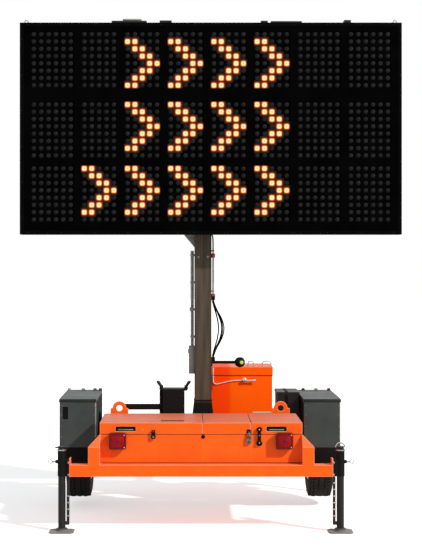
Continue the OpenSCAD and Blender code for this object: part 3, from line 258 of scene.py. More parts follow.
# %% Metals and coated metals
zinc = worn("bright_zinc_plate", "#b4b8bb", "#95999d", (0.25, 0.45), patch_mm=18, grain_mm=1.0,
            grain=0.04, edge_mm=0.8, Metallic=1.0, dust_amount=0)
galvanised = worn("hot_dip_galvanised_steel", "#9a9c9b", "#6d6f6e", (0.45, 0.65), patch_mm=9,
                  grain_mm=3, grain=0.1, edge_mm=1, Metallic=0.5, dust_amount=0.1)
chrome = worn("hard_chrome", "#d3d6d8", "#c4c7ca", (0.08, 0.16), grain=0.01, edge_mm=0.5,
              Metallic=1.0, dust_amount=0)
powder_black = worn("matt_black_powder_coat", "#060607", "#040405", (0.65, 0.8), grain_mm=1.2,
                    grain=0.1, edge_mm=2, edge_wear_and_painted_light_colour="#202224", edge_amount=0.4, dust="#242322",
                    dust_amount=0.15, Specular_IOR_Level=0.02)
lock_steel = worn("worn_lock_steel", "#86807c", "#4b4644", (0.35, 0.55), patch_mm=14, edge_mm=1.5,
                  edge_wear_and_painted_light_colour="#c9c4c0", edge_amount=0.6, Metallic=0.7, dust_amount=0)

# %% [markdown]
# Moulded parts. Polycarbonate and ABS have a fine even grain, rubber is duller and greys
# where it is handled, and a tyre's rubber is dusty with road film. The lanyard is braided
# polyester, and its braid shows as a coarse, strong grain.

# %% Plastics and rubbers
board_black = worn("moulded_black_polycarbonate", "#040405", "#020203", (0.7, 0.85), grain_mm=0.8,
                   grain=0.08, edge_mm=1, dust_amount=0, Specular_IOR_Level=0.01)
black_plastic = worn("moulded_black_abs", "#101112", "#0b0c0d", (0.4, 0.55), grain_mm=0.8,
                     grain=0.08, edge_mm=1, dust_amount=0.05, Specular_IOR_Level=0.3)
grey_plastic = worn("moulded_grey_abs", "#9a9ea0", "#868a8c", (0.4, 0.55), edge_mm=1.5)
black_rubber = worn("moulded_black_rubber", "#0c0c0c", "#080808", (0.65, 0.8), edge_mm=1.5,
                    edge_wear_and_painted_light_colour="#262626", dust_amount=0.04, Specular_IOR_Level=0.1)
tyre_rubber = worn("tyre_rubber", "#1b1b1a", "#141413", (0.65, 0.85), patch_mm=60, edge_mm=1.5,
                   edge_wear_and_painted_light_colour="#343331", dust="#5f594f", dust_amount=0.3, Specular_IOR_Level=0.3)
cord_white = worn("braided_polyester", "#e6d9d4", "#cbbdb8", (0.7, 0.9), grain_mm=3, grain=0.7,
                  edge_mm=0.5, dust_amount=0)

# %% [markdown]
# The lenses are moulded acrylic with a fine prism pattern inside, which shows as a grain.
# Signal red is for couplings and terminal covers, lime for the mark on the turning handle,
# and the pale aluminium is for the tail lamps' screws. The same pale colour paints highlights:
# a strip on the cabinet's front and the clip on its lid's left edge.

# %% Lenses and coloured plastics
red_lens = worn("moulded_red_acrylic", "#a00414", "#7e020e", (0.3, 0.42), patch_mm=30,
                grain_mm=6, grain=0.5, edge_mm=3, dust_amount=0, Specular_IOR_Level=0.15)
dark_red_lens = worn("deep_red_acrylic_rim", "#6d020f", "#55010b", (0.25, 0.4), patch_mm=20,
                     grain_mm=5, grain=0.3, edge_mm=2, dust_amount=0, Specular_IOR_Level=0.25)
signal_red = worn("signal_red_abs", "#c8202a", "#a8161f", (0.35, 0.5), edge_mm=1, dust_amount=0.1)
lime_mark = worn("lime_paint_mark", "#c9dc46", "#b3c538", (0.5, 0.6), edge_mm=0.5, dust_amount=0)
pale_aluminium_and_highlight = worn("pale_aluminium_and_painted_highlight", "#d9cfc8", "#c9beb7", (0.4, 0.55), edge_mm=0.5, dust_amount=0)

# %% [markdown]
# Each record slot gets its finish here. A few nodes are painted apart from their slot: the
# cabinet is a replacement box in an orange of its own, and the lids' tops are dustier.

# %% Finishes for the frame's own nodes
by_slot = {
    "orange_paint": orange, "black_paint": black, "slate_paint": slate, "mast_paint": mast_brown,
    "zinc": zinc, "hard_chrome": chrome, "red_lens": red_lens, "black_plastic": black_plastic,
    "grey_plastic": grey_plastic, "black_rubber": black_rubber, "tyre_rubber": tyre_rubber,
    "black_aluminium": powder_black, "solar_glass": black_plastic, "cord": cord_white,
}
by_node = {"cabinet_body": orange_cabinet, "cabinet_lid": orange_cabinet, "lid_left": orange_lid,
           "lid_middle": orange_lid, "lid_right": orange_lid, "board_mask": board_black,
           "board_modules": board_black, "padlock": lock_steel, "conduit": galvanised,
           "leg_rear_left": black_leg, "leg_rear_right": black_leg, "leg_front_left": black_leg,
           "leg_front_right": black_leg}
for part in frame["record"]["subparts"]:
    node = part["node"]
    finish = by_node.get(node, by_slot[part["material_slot"]])
    frame["nodes"][node].data.materials.clear()
    frame["nodes"][node].data.materials.append(finish)

# %% [markdown]
# Pieces are placed in the trailer's own millimetres: X from its centre line, Y from its
# axle, Z from the ground. The axle beam's middle is at X 0 and Y 0, so its box gives the
# origin.
# The mast, the cradle, the wheels and the legs stand on lines that many pieces share.

# %% Places in the trailer's own axes
MAST_X, MAST_Y, CRADLE_X = 22, -370, -193
WHEEL_X, WHEEL_Z, LEG_X = 907, 365, 951
axle_low, axle_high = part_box("axle_beam")
ORIGIN = Vector(((axle_low.x + axle_high.x) / 2, (axle_low.y + axle_high.y) / 2, 0))


def at(x, y, z):
    return ORIGIN + Vector((x, y, z)) * MM


def low_high(node):
    """A node's corners in the trailer's millimetres."""
    return [tuple((corner - ORIGIN) / MM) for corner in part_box(node)]


print("origin", [round(v, 4) for v in ORIGIN])

# %% [markdown]
# Shapes are built in a bmesh and then become one object. Four shapes do most of the work:
# a block with rounded edges, an upright sheet cut to an outline, an outline turned on an
# axis, and a rod bent along points.

# %% Blocks and sheets
def block(bm, low, high, round_mm=0.0, segments=2, along=None):
    """along is 0, 1 or 2 to round only the edges that run along X, Y or Z."""
    low, high = at(*low), at(*high)
    made = bmesh.ops.create_cube(bm, size=1.0)["verts"]
    bmesh.ops.scale(bm, verts=made, vec=high - low)
    bmesh.ops.translate(bm, verts=made, vec=(low + high) / 2)
    edges = {e for v in made for e in v.link_edges}
    if along is not None:
        edges = {e for e in edges if abs(e.verts[0].co[along] - e.verts[1].co[along]) > 1e-6}
    if round_mm:
        bmesh.ops.bevel(bm, geom=list(edges), offset=round_mm * MM, offset_type="OFFSET",
                        segments=segments, profile=0.5, affect="EDGES", material=-1)


def plate(bm, outline, thick_mm, push=AHEAD):
    """A flat outline of points in the trailer's millimetres, given its thickness along push."""
    face = bm.faces.new([bm.verts.new(at(*p)) for p in outline])
    grown = bmesh.ops.extrude_face_region(bm, geom=[face])["geom"]
    bmesh.ops.translate(bm, verts=[g for g in grown if isinstance(g, bmesh.types.BMVert)],
                        vec=Vector(push) * thick_mm * MM)

# %% [markdown]
# Turned parts are spun from half of their outline. Merging doubles frees places in the
# bmesh that later vertices fill, so the new ones are told from the old by comparison.

# %% Turned parts
def newcomers(bm, before):
    return [v for v in bm.verts if v not in before]


def turned(bm, outline_mm, spot, axis=UP, steps=24):
    """Turns an outline of (radius, height) points in millimetres about an axis through spot."""
    before = set(bm.verts)
    verts = [bm.verts.new((r * MM, 0, h * MM)) for r, h in outline_mm]
    edges = [bm.edges.new(pair) for pair in zip(verts, verts[1:])]
    bmesh.ops.spin(bm, geom=verts + edges, axis=UP, cent=(0, 0, 0), angle=2 * math.pi,
                   steps=steps, use_merge=True)
    turn = Vector(UP).rotation_difference(Vector(axis)).to_matrix().to_4x4()
    new = newcomers(bm, before)
    bmesh.ops.transform(bm, matrix=Matrix.Translation(spot) @ turn, verts=new)
    bmesh.ops.remove_doubles(bm, verts=new, dist=1e-6)

# %% [markdown]
# A bent rod starts as a circle: its edge is extruded from point to point and turned to face
# along the path each time, and the last ring is capped.

# %% Bent rods
def bent(bm, path, radius_mm, sides=8):
    """A rod along a path of points in the trailer's millimetres, closed at both ends."""
    path = [at(*p) for p in path]
    ring = bmesh.ops.create_circle(bm, cap_ends=True, radius=radius_mm * MM, segments=sides)["verts"]
    edges = {e for v in ring for e in v.link_edges}
    here, heading = Vector(), Vector(UP)
    for i, point in enumerate(path):
        ahead = (path[min(i + 1, len(path) - 1)] - path[max(i - 1, 0)]).normalized()
        if i:
            grown = bmesh.ops.extrude_edge_only(bm, edges=list(edges))["geom"]
            ring = [g for g in grown if isinstance(g, bmesh.types.BMVert)]
            edges = {e for e in grown if isinstance(e, bmesh.types.BMEdge)
                     and all(v in ring for v in e.verts)}
        bmesh.ops.translate(bm, verts=ring, vec=point - here)
        bmesh.ops.rotate(bm, verts=ring, cent=point,
                         matrix=heading.rotation_difference(ahead).to_matrix())
        here, heading = point, ahead
    bmesh.ops.contextual_create(bm, geom=list(edges))

# %% [markdown]
# Fasteners: a hexagon bolt stands on a washer, and a rivet is a low dome. A screw's cross
# cut is too fine to show here, so its head is a plain dome as well.

# %% Fasteners, and the piece itself
def bolt(bm, spot, axis, radius_mm=6.0):
    r = radius_mm
    turned(bm, [(0, 0), (1.5 * r, 0), (1.5 * r, 0.25 * r), (0, 0.25 * r)], spot, axis, 16)
    turned(bm, [(0, 0.2 * r), (r, 0.2 * r), (r, 0.95 * r), (0.85 * r, 1.1 * r), (0, 1.1 * r)],
           spot, axis, 6)


def rivet(bm, spot, axis, radius_mm=4.0):
    r = radius_mm
    turned(bm, [(0, 0), (r, 0), (0.85 * r, 0.35 * r), (0.45 * r, 0.55 * r), (0, 0.6 * r)],
           spot, axis, 12)


def piece(name, bm, body, finish, smooth_deg=35):
    bmesh.ops.recalc_face_normals(bm, faces=bm.faces)
    mesh = bpy.data.meshes.new(name)
    bm.to_mesh(mesh)
    bm.free()
    mesh.materials.append(finish)
    mesh.shade_smooth()
    mesh.set_sharp_from_angle(angle=math.radians(smooth_deg))
    made = bpy.data.objects.new(name, mesh)
    bpy.context.scene.collection.objects.link(made)
    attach(made, body)
    print(name, "on", body, len(mesh.polygons), "faces")
    return made

# %% [markdown]
# The lamps. Each character module is a grid of round lenses about 53 mm apart, five or six
# across and eight down. Their places follow from the modules' outer box. A lens is a low dome,
# turned once and stamped at every place, with few faces because there are over a thousand.

# %% Where the lamps are
PITCH, MODULE_GAP, ROW_PITCH, MODULE_EDGE = 53, 98, 52.3, 26
COLUMNS, ROWS, LINES, LINE_GAPS = (6, 5, 5, 5, 5, 5, 6, 6), 8, 3, (138, 93)
modules_low, modules_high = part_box("board_modules")
lamps = {}
for line in range(LINES):
    top = modules_high.z - (MODULE_EDGE + line * (ROWS - 1) * ROW_PITCH + sum(LINE_GAPS[:line])) * MM
    left = modules_low.x + MODULE_EDGE * MM
    for module, columns in enumerate(COLUMNS):
        for column in range(columns):
            for row in range(ROWS):
                lamps[line, module, row, column] = Vector(
                    (left + column * PITCH * MM, modules_low.y, top - row * ROW_PITCH * MM))
        left += ((columns - 1) * PITCH + MODULE_GAP) * MM
print("lamps", len(lamps))

# %% [markdown]
# What is lit is plain chevrons pointing right, one to a module and four or five to a line,
# as such boards show to turn traffic. Each is seven rows high and five columns wide.

# %% Which lamps are lit
CHEVRON = ((0, 1), (1, 2), (2, 3), (3, 4), (2, 3), (1, 2), (0, 1))
LIT_MODULES, FIRST_ROW = ((2, 3, 4, 5), (2, 3, 4, 5), (1, 2, 3, 4, 5)), (1, 0, 0)
lit = {(line, module, FIRST_ROW[line] + row, column)
       for line in range(LINES) for module in LIT_MODULES[line]
       for row, columns in enumerate(CHEVRON) for column in columns}
print("lit", len(lit))

# %% [markdown]
# An unlit lens is smoked polycarbonate, a little lighter than the board and rough, so that
# it doesn't sparkle. A lit one is drawn as flat rings with a value stored on their vertices,
# 1 at the heart and 0 at the rim. A colour ramp turns that into the lamp's small warm
# centre, its cream core, yellow edge and orange-red glow.

# %% Lamp materials
dark_lens = worn("smoked_polycarbonate_lens", "#1a1b1f", "#101114", (0.5, 0.65), patch_mm=45,
                 grain_mm=1, edge_mm=0.8, dust_amount=0, Specular_IOR_Level=0.1)
glow, tree = new_material("amber_lamp_glow")
heart = add(tree, "Attribute", attribute_name="heart")
ramp = add(tree, "ValToRGB", {"Fac": heart.outputs["Fac"]})
STOPS = ((0.0, "#020000"), (0.07, "#2a0800"), (0.16, "#5e1600"), (0.3, "#d8500a"), (0.46, "#ffae3a"),
         (0.6, "#fff0a8"), (0.84, "#fff6d0"), (0.95, "#fbd488"), (1.0, "#ef9d42"))
while len(ramp.color_ramp.elements) < len(STOPS):
    ramp.color_ramp.elements.new(0.5)
for stop, (position, colour) in zip(ramp.color_ramp.elements, STOPS):
    stop.position, stop.color = position, linear(colour)
shining = add(tree, "BsdfPrincipled", {"Emission Color": ramp.outputs["Color"]},
              Base_Color=linear("#060505"), Roughness=0.6, Emission_Strength=1.0,
              Specular_IOR_Level=0.1)
add(tree, "OutputMaterial", {"Surface": shining.outputs[0]})

# %% [markdown]
# One lamp is made and then stamped: a bmesh can take in the same small mesh again and
# again, and the vertices that came last are moved to their place. A lit lamp's rings are
# pushed out towards their corners, so that its glow is a rounded square.

# %% Make the lamps
def stamp(name, small, places, body, finish):
    pattern = bpy.data.meshes.new(name + "_pattern")
    small.to_mesh(pattern)
    small.free()
    bm = bmesh.new()
    for spot in places:
        start = len(bm.verts)
        bm.from_mesh(pattern)
        bm.verts.ensure_lookup_table()
        bmesh.ops.translate(bm, verts=bm.verts[start:], vec=spot)
    bpy.data.meshes.remove(pattern)
    return piece(name, bm, body, finish)


lens = bmesh.new()
turned(lens, [(0, 3.6), (9, 3.3), (14, 2.2), (16, 0.3), (16, -0.5)], (0, 0, 0), REAR, 12)
stamp("dark_lamps", lens, [p for k, p in lamps.items() if k not in lit], "board", dark_lens)

# The glow is round up to this radius and squarish beyond it
SQUARE_FROM, SQUARE_POWER = 10 * MM, 4
# Radius, height and heart of each ring
RINGS = ((0, 4, 1.0), (3.5, 3.6, 0.96), (7, 3.2, 0.82), (13.5, 2.4, 0.62), (16.5, 2, 0.46),
         (19, 1.7, 0.3), (24, 1.2, 0.16), (30, 0.7, 0.07), (37, 0.3, 0.0))
bright = bmesh.new()
turned(bright, [(r, tall) for r, tall, _ in RINGS], (0, 0, 0), REAR, 16)
heart_layer = bright.verts.layers.float.new("heart")
for v in bright.verts:
    radius = math.hypot(v.co.x, v.co.z)
    v[heart_layer] = min(RINGS, key=lambda ring: abs(ring[0] - radius / MM))[2]
    if radius > SQUARE_FROM:
        across, up = abs(v.co.x / radius) ** SQUARE_POWER, abs(v.co.z / radius) ** SQUARE_POWER
        square = (across + up) ** (-1 / SQUARE_POWER)
        v.co.x, v.co.z = v.co.x * square, v.co.z * square
stamp("lit_lamps", bright, [lamps[k] for k in sorted(lit)], "board", glow)

# %% [markdown]
# The board's front. A faint scuff crosses the mask near its upper left corner, drawn as a
# thin rod half sunk in its face. Small screws go round the housing's rim, where they hold
# the mask's edge.

# %% Board front: scuff and edge screws
SCREW_IN, END_SCREWS, SIDE_SCREWS = 13, 12, 6
(board_left, board_face, board_low), (board_right, board_back, board_top) = low_high("board_housing")
mask_face = low_high("board_mask")[0][1]
scuff = bmesh.new()
bent(scuff, [(-924, mask_face, 2972), (-860, mask_face, 2962), (-800, mask_face, 2946),
             (-745, mask_face, 2936)], 0.8, 6)
piece("mask_scuff", scuff, "board", black_rubber)

edge_screws = bmesh.new()
for i in range(END_SCREWS):
    x = board_left + 60 + i * (board_right - board_left - 120) / (END_SCREWS - 1)
    for z in (board_low + SCREW_IN, board_top - SCREW_IN):
        rivet(edge_screws, at(x, board_face, z), REAR, 4.5)
for i in range(SIDE_SCREWS):
    z = board_low + 120 + i * (board_top - board_low - 240) / (SIDE_SCREWS - 1)
    for x in (board_left + SCREW_IN, board_right - SCREW_IN):
        rivet(edge_screws, at(x, board_face, z), REAR, 4.5)
piece("board_edge_screws", edge_screws, "board", black)

# %% [markdown]
# Low fittings lie along the board's top edge: a light sensor, two covers, a vent and a
# radio's base with its flat antenna, all in moulded plastic.

# %% Board top: fittings and antenna
# Left end, width and height of each
FITTINGS = ((-637, 252, 15), (-292, 87, 17), (434, 51, 15), (506, 223, 12), (1031, 50, 20))
fittings, antenna = bmesh.new(), bmesh.new()
for x, width, tall in FITTINGS:
    block(fittings, (x, board_face + 5, board_top - 0.5),
          (x + width, board_face + 83, board_top + tall - 0.2), 3, 3)
block(antenna, (-557, board_face + 15, board_top + 14),
      (-422, board_face + 73, board_top + 31.5), 14, 5)
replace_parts(piece("top_fittings_moulded", fittings, "board", black_plastic),
            "top_fittings")
piece("top_antenna", antenna, "board", grey_plastic)

# %% [markdown]
# The board's back is two rows of service doors between the stiles and the ends. A door is
# a thin panel with its middle pressed outwards, a piano hinge above and two quarter-turn
# locks below. It stays thin, because the back swings close to the cradle.

# %% Board back: service doors
doors, door_locks, door_hinges = bmesh.new(), bmesh.new(), bmesh.new()
DOOR_X = ((-1265, -810), (-790, -390), (434, 900), (920, 1415))
DOOR_Z = ((2110, 2790), (2830, 3510))
DOOR_BORDER = 45
for x0, x1 in DOOR_X:
    for z0, z1 in DOOR_Z:
        block(doors, (x0, board_back - 1, z0), (x1, board_back + 4, z1), 3, 2)
        block(doors, (x0 + DOOR_BORDER, board_back + 3, z0 + DOOR_BORDER),
              (x1 - DOOR_BORDER, board_back + 6, z1 - DOOR_BORDER), 2.5, 2)
        block(door_hinges, (x0 + 20, board_back + 1, z1 - 4),
              (x1 - 20, board_back + 7, z1 + 8), 2.5, 2)
        for x in (x0 + 90, x1 - 90):
            turned(door_locks, [(0, 0), (13, 0), (13, 2), (9, 4), (0, 4)],
                   at(x, board_back + 3.5, z0 + 22), AHEAD, 20)
            block(door_locks, (x - 2, board_back + 6, z0 + 13), (x + 2, board_back + 9, z0 + 31),
                  0.8, 1)
piece("back_doors", doors, "board", powder_black)
piece("back_door_hinges", door_hinges, "board", black)
piece("back_door_locks", door_locks, "board", zinc)

# %% [markdown]
# The lamps warm the housing, so each upper door has a field of louvres. A louvre is a
# half-round hood pressed out of the sheet: here a thin block whose long edges are rounded.
# Below them two cables come out of glands and go up into the housing again.

# %% Board back: louvres and cable glands
LOUVRES, LOUVRE_LOW, LOUVRE_PITCH, LOUVRE_HALF = 7, 3230, 26, 90
louvres, glands = bmesh.new(), bmesh.new()
for x0, x1 in DOOR_X:
    middle = (x0 + x1) / 2
    for k in range(LOUVRES):
        z = LOUVRE_LOW + k * LOUVRE_PITCH
        block(louvres, (middle - LOUVRE_HALF, board_back + 5, z),
              (middle + LOUVRE_HALF, board_back + 10, z + 12), 4, 3, along=0)
GLANDS_X, GLAND_Z = (-250, 120), 2200
for x in GLANDS_X:
    turned(glands, [(0, 0), (16, 0), (16, 6), (12, 7), (12, 18), (8, 20), (8, 26), (0, 26)],
           at(x, board_back, GLAND_Z), AHEAD, 16)
    bent(glands, [(x, board_back + 24, GLAND_Z), (x, board_back + 29, GLAND_Z + 3),
                  (x + 2, board_back + 31, GLAND_Z + 40), (x + 3, board_back + 29, GLAND_Z + 300),
                  (x, board_back + 12, GLAND_Z + 360)], 6)
piece("back_louvres", louvres, "board", powder_black)
piece("cable_glands", glands, "board", black_rubber)

# %% [markdown]
# The back frame's two stiles are bolted through to the housing, and its saddle is clamped on
# the inner mast by four bolts.

# %% Board back: frame bolts
frame_bolts = bmesh.new()
STILES, BOLT_LEVELS = (MAST_X - 350, MAST_X + 350), (2120, 2500, 2900, 3200, 3460)
for x in STILES:
    for z in BOLT_LEVELS:
        for dx in (-18, 18):
            bolt(frame_bolts, at(x + dx, board_back + 5, z), AHEAD, 5)
for dx in (-58, 58):
    for z in (3270, 3418):
        bolt(frame_bolts, at(MAST_X + dx, -304, z), AHEAD, 5)
piece("frame_bolts", frame_bolts, "board", zinc)

# %% [markdown]
# A solar panel is an anodised frame round a sheet of glass over dark blue cells. The cells
# are squares of 156 mm in a fine pale grid, with a thinner silver busbar at each quarter.
# Two Brick textures draw them: bricks of equal width and height with no offset are a grid.

# %% Solar panel materials
solar_cells, tree = new_material("tempered_glass_over_silicon_cells")
place = add(tree, "TexCoord")
flat = add(tree, "Mapping", {"Vector": place.outputs["Object"]}, Location=(0.027, 0.012, 0))
CELL = 156 * MM
GRID = dict(offset=0.0, squash=1.0, Mortar_Smooth=0.0, Bias=0.0, Scale=1.0)
cells = add(tree, "TexBrick", {"Vector": flat.outputs["Vector"]}, Color1=linear("#0b1222"),
            Color2=linear("#0e172b"), Mortar=linear("#5e666f"), Brick_Width=CELL,
            Row_Height=CELL, Mortar_Size=1.5 * MM, **GRID)
busbars = add(tree, "TexBrick", {"Vector": flat.outputs["Vector"]}, Brick_Width=2.0,
              Row_Height=CELL / 4, Mortar_Size=0.8 * MM, **GRID)
face = add(tree, "Mix", {SHARE: busbars.outputs["Fac"], COLOUR_A: cells.outputs["Color"],
                         COLOUR_B: "#79818a"}, data_type="RGBA").outputs[BLENDED]
glazed = add(tree, "BsdfPrincipled", {"Base Color": face}, Roughness=0.12, IOR=1.5,
             Specular_IOR_Level=0.5)
add(tree, "OutputMaterial", {"Surface": glazed.outputs[0]})
panel_alloy = worn("anodised_aluminium_frame", "#a7abad", "#94989b", (0.3, 0.42), grain_mm=0.8,
                   edge_mm=1, Metallic=1.0, dust_amount=0)
print("solar cells", round(CELL / MM), "mm square")

# %% [markdown]
# A frame is four lengths of section, butted at the corners, and a junction box hangs under
# each panel. The two panels fill their node's box from its outer ends inwards.

# %% Solar panels
(sun_x0, sun_y0, sun_z0), (sun_x1, sun_y1, sun_z1) = low_high("solar_panels")
PANEL_W, PANEL_FRAME = 660, 25
frames, glass, boxes = bmesh.new(), bmesh.new(), bmesh.new()
for x0 in (sun_x0, sun_x1 - PANEL_W):
    x1 = x0 + PANEL_W
    for x in (x0, x1 - PANEL_FRAME):
        block(frames, (x, sun_y0, sun_z0), (x + PANEL_FRAME, sun_y1, sun_z1), 1.5, 2)
    for y in (sun_y0, sun_y1 - PANEL_FRAME):
        block(frames, (x0 + PANEL_FRAME, y, sun_z0),
              (x1 - PANEL_FRAME, y + PANEL_FRAME, sun_z1), 1.5, 2)
    block(glass, (x0 + PANEL_FRAME, sun_y0 + PANEL_FRAME, sun_z1 - 8),
          (x1 - PANEL_FRAME, sun_y1 - PANEL_FRAME, sun_z1 - 2), 1, 1)
    middle = (x0 + x1) / 2
    block(boxes, (middle - 55, sun_y1 - 180, sun_z1 - 30),
          (middle + 55, sun_y1 - 90, sun_z1 - 8), 4, 2)
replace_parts(piece("solar_frames", frames, "board", panel_alloy), "solar_panels")
piece("solar_glass_sheets", glass, "board", solar_cells)
piece("junction_boxes", boxes, "board", black_plastic)

# %% [markdown]
# The toolbox's front. A seal lies under the lids' turned-down edge, and a bead of sealant
# closes the gap to the rear beam. Both are dark orange with painted shade, and show as darker
# lines. A round bumper sits between the latches.

# %% Toolbox: seals and bumper
BOX_HALF, BEAM_TOP = 690, 462
box_face = low_high("toolbox_body")[0][1]
lip_face, lip_low = low_high("lid_left")[0][1:]
lid_top = low_high("lid_left")[1][2]
shade_seals, bumper = bmesh.new(), bmesh.new()
block(shade_seals, (2 - BOX_HALF, lip_face + 2, lip_low - 6), (BOX_HALF - 2, box_face, lip_low - 0.5), 1, 1)
block(shade_seals, (-BOX_HALF, box_face - 1.2, BEAM_TOP), (BOX_HALF, box_face, BEAM_TOP + 7), 0.5, 1)
turned(bumper, [(0, 0), (13.5, 0), (13.5, 3), (11, 6), (0, 6.5)], at(15, box_face, 645), REAR, 20)
piece("toolbox_shade_seals", shade_seals, "trailer", orange_shade)
piece("lid_bumper", bumper, "trailer", black_rubber)

# %% [markdown]
# The hand slots in the outer lids are lined in black and crossed by a grey bar, by which a
# lid is lifted. A rubber strip lies along the left lid's top. They move with their lids.

# %% Lids: slot liners, bars and the top strip
SLOT_X = 517
for body, x in (("lid_left", -SLOT_X), ("lid_right", SLOT_X)):
    liner, grip = bmesh.new(), bmesh.new()
    block(liner, (x - 68.5, lip_face + 0.7, 683.5), (x + 68.5, lip_face + 2.9, 714.5), 6, 3, along=1)
    block(grip, (x - 52, lip_face + 0.1, 690), (x + 52, lip_face + 1.6, 697), 0.6, 2)
    piece(body + "_slot_liner", liner, body, black_rubber)
    piece(body + "_slot_bar", grip, body, pale_slate_and_hem_highlight)
strip = bmesh.new()
block(strip, (-277, -1020, lid_top - 0.5), (-118, -1003, lid_top + 4), 1.5, 2)
piece("lid_left_top_strip", strip, "lid_left", black_rubber)

# %% [markdown]
# The left fastening is a black turn handle with a steel head. It turns on the box, so the
# round plate behind it stays with the trailer. Blind rivets hold what is behind the sheet.
# This handle, the draw latch's strap and the strap's anchor all reach out to one plane.

# %% Turn latch and rivets
TURN_LATCH_X, TURN_LATCH_Z, FASTENING_Y = -327, 646, -1144
head, seat_plate = bmesh.new(), bmesh.new()
turned(head, [(0, 0), (8.5, 0), (8.5, 2), (6.5, 4.5), (0, 5)],
       at(TURN_LATCH_X, FASTENING_Y, TURN_LATCH_Z), REAR, 24)
turned(head, [(0, 0), (4, 0), (3.5, 3), (0, 4)],
       at(TURN_LATCH_X, FASTENING_Y, TURN_LATCH_Z + 36), REAR, 12)
turned(seat_plate, [(0, 0), (17, 0), (17, 1.2), (14, 2.2), (0, 2.2)],
       at(TURN_LATCH_X, box_face, TURN_LATCH_Z), REAR, 24)
piece("turn_latch_head", head, "turn_latch", lock_steel)
piece("turn_latch_plate", seat_plate, "trailer", black)
lid_rivet = bmesh.new()
rivet(lid_rivet, at(-398, lip_face, 692), REAR, 4)
piece("lid_left_rivet", lid_rivet, "lid_left", zinc)
box_rivets = bmesh.new()
for x, z in ((-360, 646), (-500, 640), (500, 640)):
    rivet(box_rivets, at(x, box_face, z), REAR, 3.5)
piece("toolbox_rivets", box_rivets, "trailer", zinc)

# %% [markdown]
# The draw latch is a rubber strap that hooks over the lid's edge. Round pads thicken it
# where it is pulled and where its pin goes through, and a chromed rivet shows in each pad.
# The padlock's eye has a black cover plate, and its body a black band and a keyhole.

# %% Draw latch, its anchor and the padlock's covers
DRAW_X, PULL_Z, PIN_Z, PADLOCK_X = 399, 697, 606, 327
# The screw in the strap's middle
STUD_Z = 655
pads, studs, anchor, covers = bmesh.new(), bmesh.new(), bmesh.new(), bmesh.new()
turned(pads, [(0, 0), (18, 0), (18, 2), (15, 3.5), (0, 3.5)], at(DRAW_X, FASTENING_Y, PULL_Z),
       REAR, 28)
turned(pads, [(0, 0), (15, 0), (15, 3), (12.5, 5), (0, 5)], at(DRAW_X, FASTENING_Y + 2, PIN_Z),
       REAR, 28)
rivet(studs, at(DRAW_X, FASTENING_Y - 3.5, PULL_Z), REAR, 5.5)
rivet(studs, at(DRAW_X, FASTENING_Y - 3, PIN_Z), REAR, 4.5)
rivet(studs, at(DRAW_X, FASTENING_Y + 2, STUD_Z), REAR, 3)
piece("draw_latch_pads", pads, "draw_latch", black_rubber)
piece("draw_latch_studs", studs, "draw_latch", chrome)
block(covers, (313.5, -1129, 664.5), (339.5, -1127, 695.5), 3, 2, along=1)
block(covers, (311.5, -1143.2, 634), (343.5, -1123.9, 645), 3, 2)
turned(covers, [(0, 0), (5, 0), (4.5, 2), (0, 2.2)], at(PADLOCK_X, -1143, 612), REAR, 16)
piece("padlock_covers", covers, "lid_middle", black)

# %% [markdown]
# The hinges are rolled from strip: two fixed knuckles on a leaf with three screws,
# and a pin through all. They replace the frame's plain ones. The draw latch's anchor, which
# belongs to the same node, is two ears and a pin on a round plate, painted black.

# %% Hinges and the latch anchor
BOX_BACK, BOX_HINGE_Z, CABINET_BACK, CABINET_HINGE_Z = -503, 733, 250, 1045
hinges, hinge_screws = bmesh.new(), bmesh.new()


def hinge(x, wall_y, z):
    for a, b in ((x - 42, x - 21.5), (x + 21.5, x + 42)):
        turned(hinges, [(0, 0), (7, 0), (8, 1), (8, b - a - 1), (7, b - a), (0, b - a)],
               at(a, wall_y + 9, z), RIGHT, 20)
        block(hinges, (a, wall_y, z - 34), (b, wall_y + 3, z), 0.8, 2)
    block(hinges, (x - 42, wall_y, z - 34), (x + 42, wall_y + 3, z - 10), 0.8, 2)
    turned(hinges, [(0, -44), (3, -44), (4, -43), (4, 43), (3, 44), (0, 44)],
           at(x, wall_y + 9, z), RIGHT, 12)
    for dx in (-30, 0, 30):
        rivet(hinge_screws, at(x + dx, wall_y + 3, z - 22), AHEAD, 4)


for lid in ("lid_left", "lid_middle", "lid_right"):
    (x0, _, _), (x1, _, _) = low_high(lid)
    for x in (x0 + 90, x1 - 90):
        hinge(x, BOX_BACK, BOX_HINGE_Z)
CABINET_LEFT, CABINET_RIGHT = 80, 546
for x in (CABINET_LEFT + 90, CABINET_RIGHT - 90):
    hinge(x, CABINET_BACK, CABINET_HINGE_Z)
block(anchor, (DRAW_X - 18, box_face - 3, 582), (DRAW_X + 18, box_face, 618), 14, 6, along=1)
for x in (DRAW_X - 16, DRAW_X + 16):
    block(anchor, (x - 2, FASTENING_Y, 591), (x + 2, box_face, 609), 0.8, 2)
turned(anchor, [(0, 0), (6, 0), (6, 1.5), (4, 1.5), (4, 38.5), (6, 38.5), (6, 40), (0, 40)],
       at(DRAW_X - 20, -1136, 600), RIGHT, 16)
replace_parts(piece("box_hinges", hinges, "trailer", zinc), "hinge_pins")
piece("hinge_screws", hinge_screws, "trailer", zinc)
piece("latch_anchor", anchor, "trailer", black)

# %% [markdown]
# A tail lamp is a moulded lens in a deeper red rim, with a round reflector at its middle
# and two screws at its right corners. The rim is a block whose front face is inset and pushed in,
# which gives it a shallow dish, and three low ribs go round on the lens.

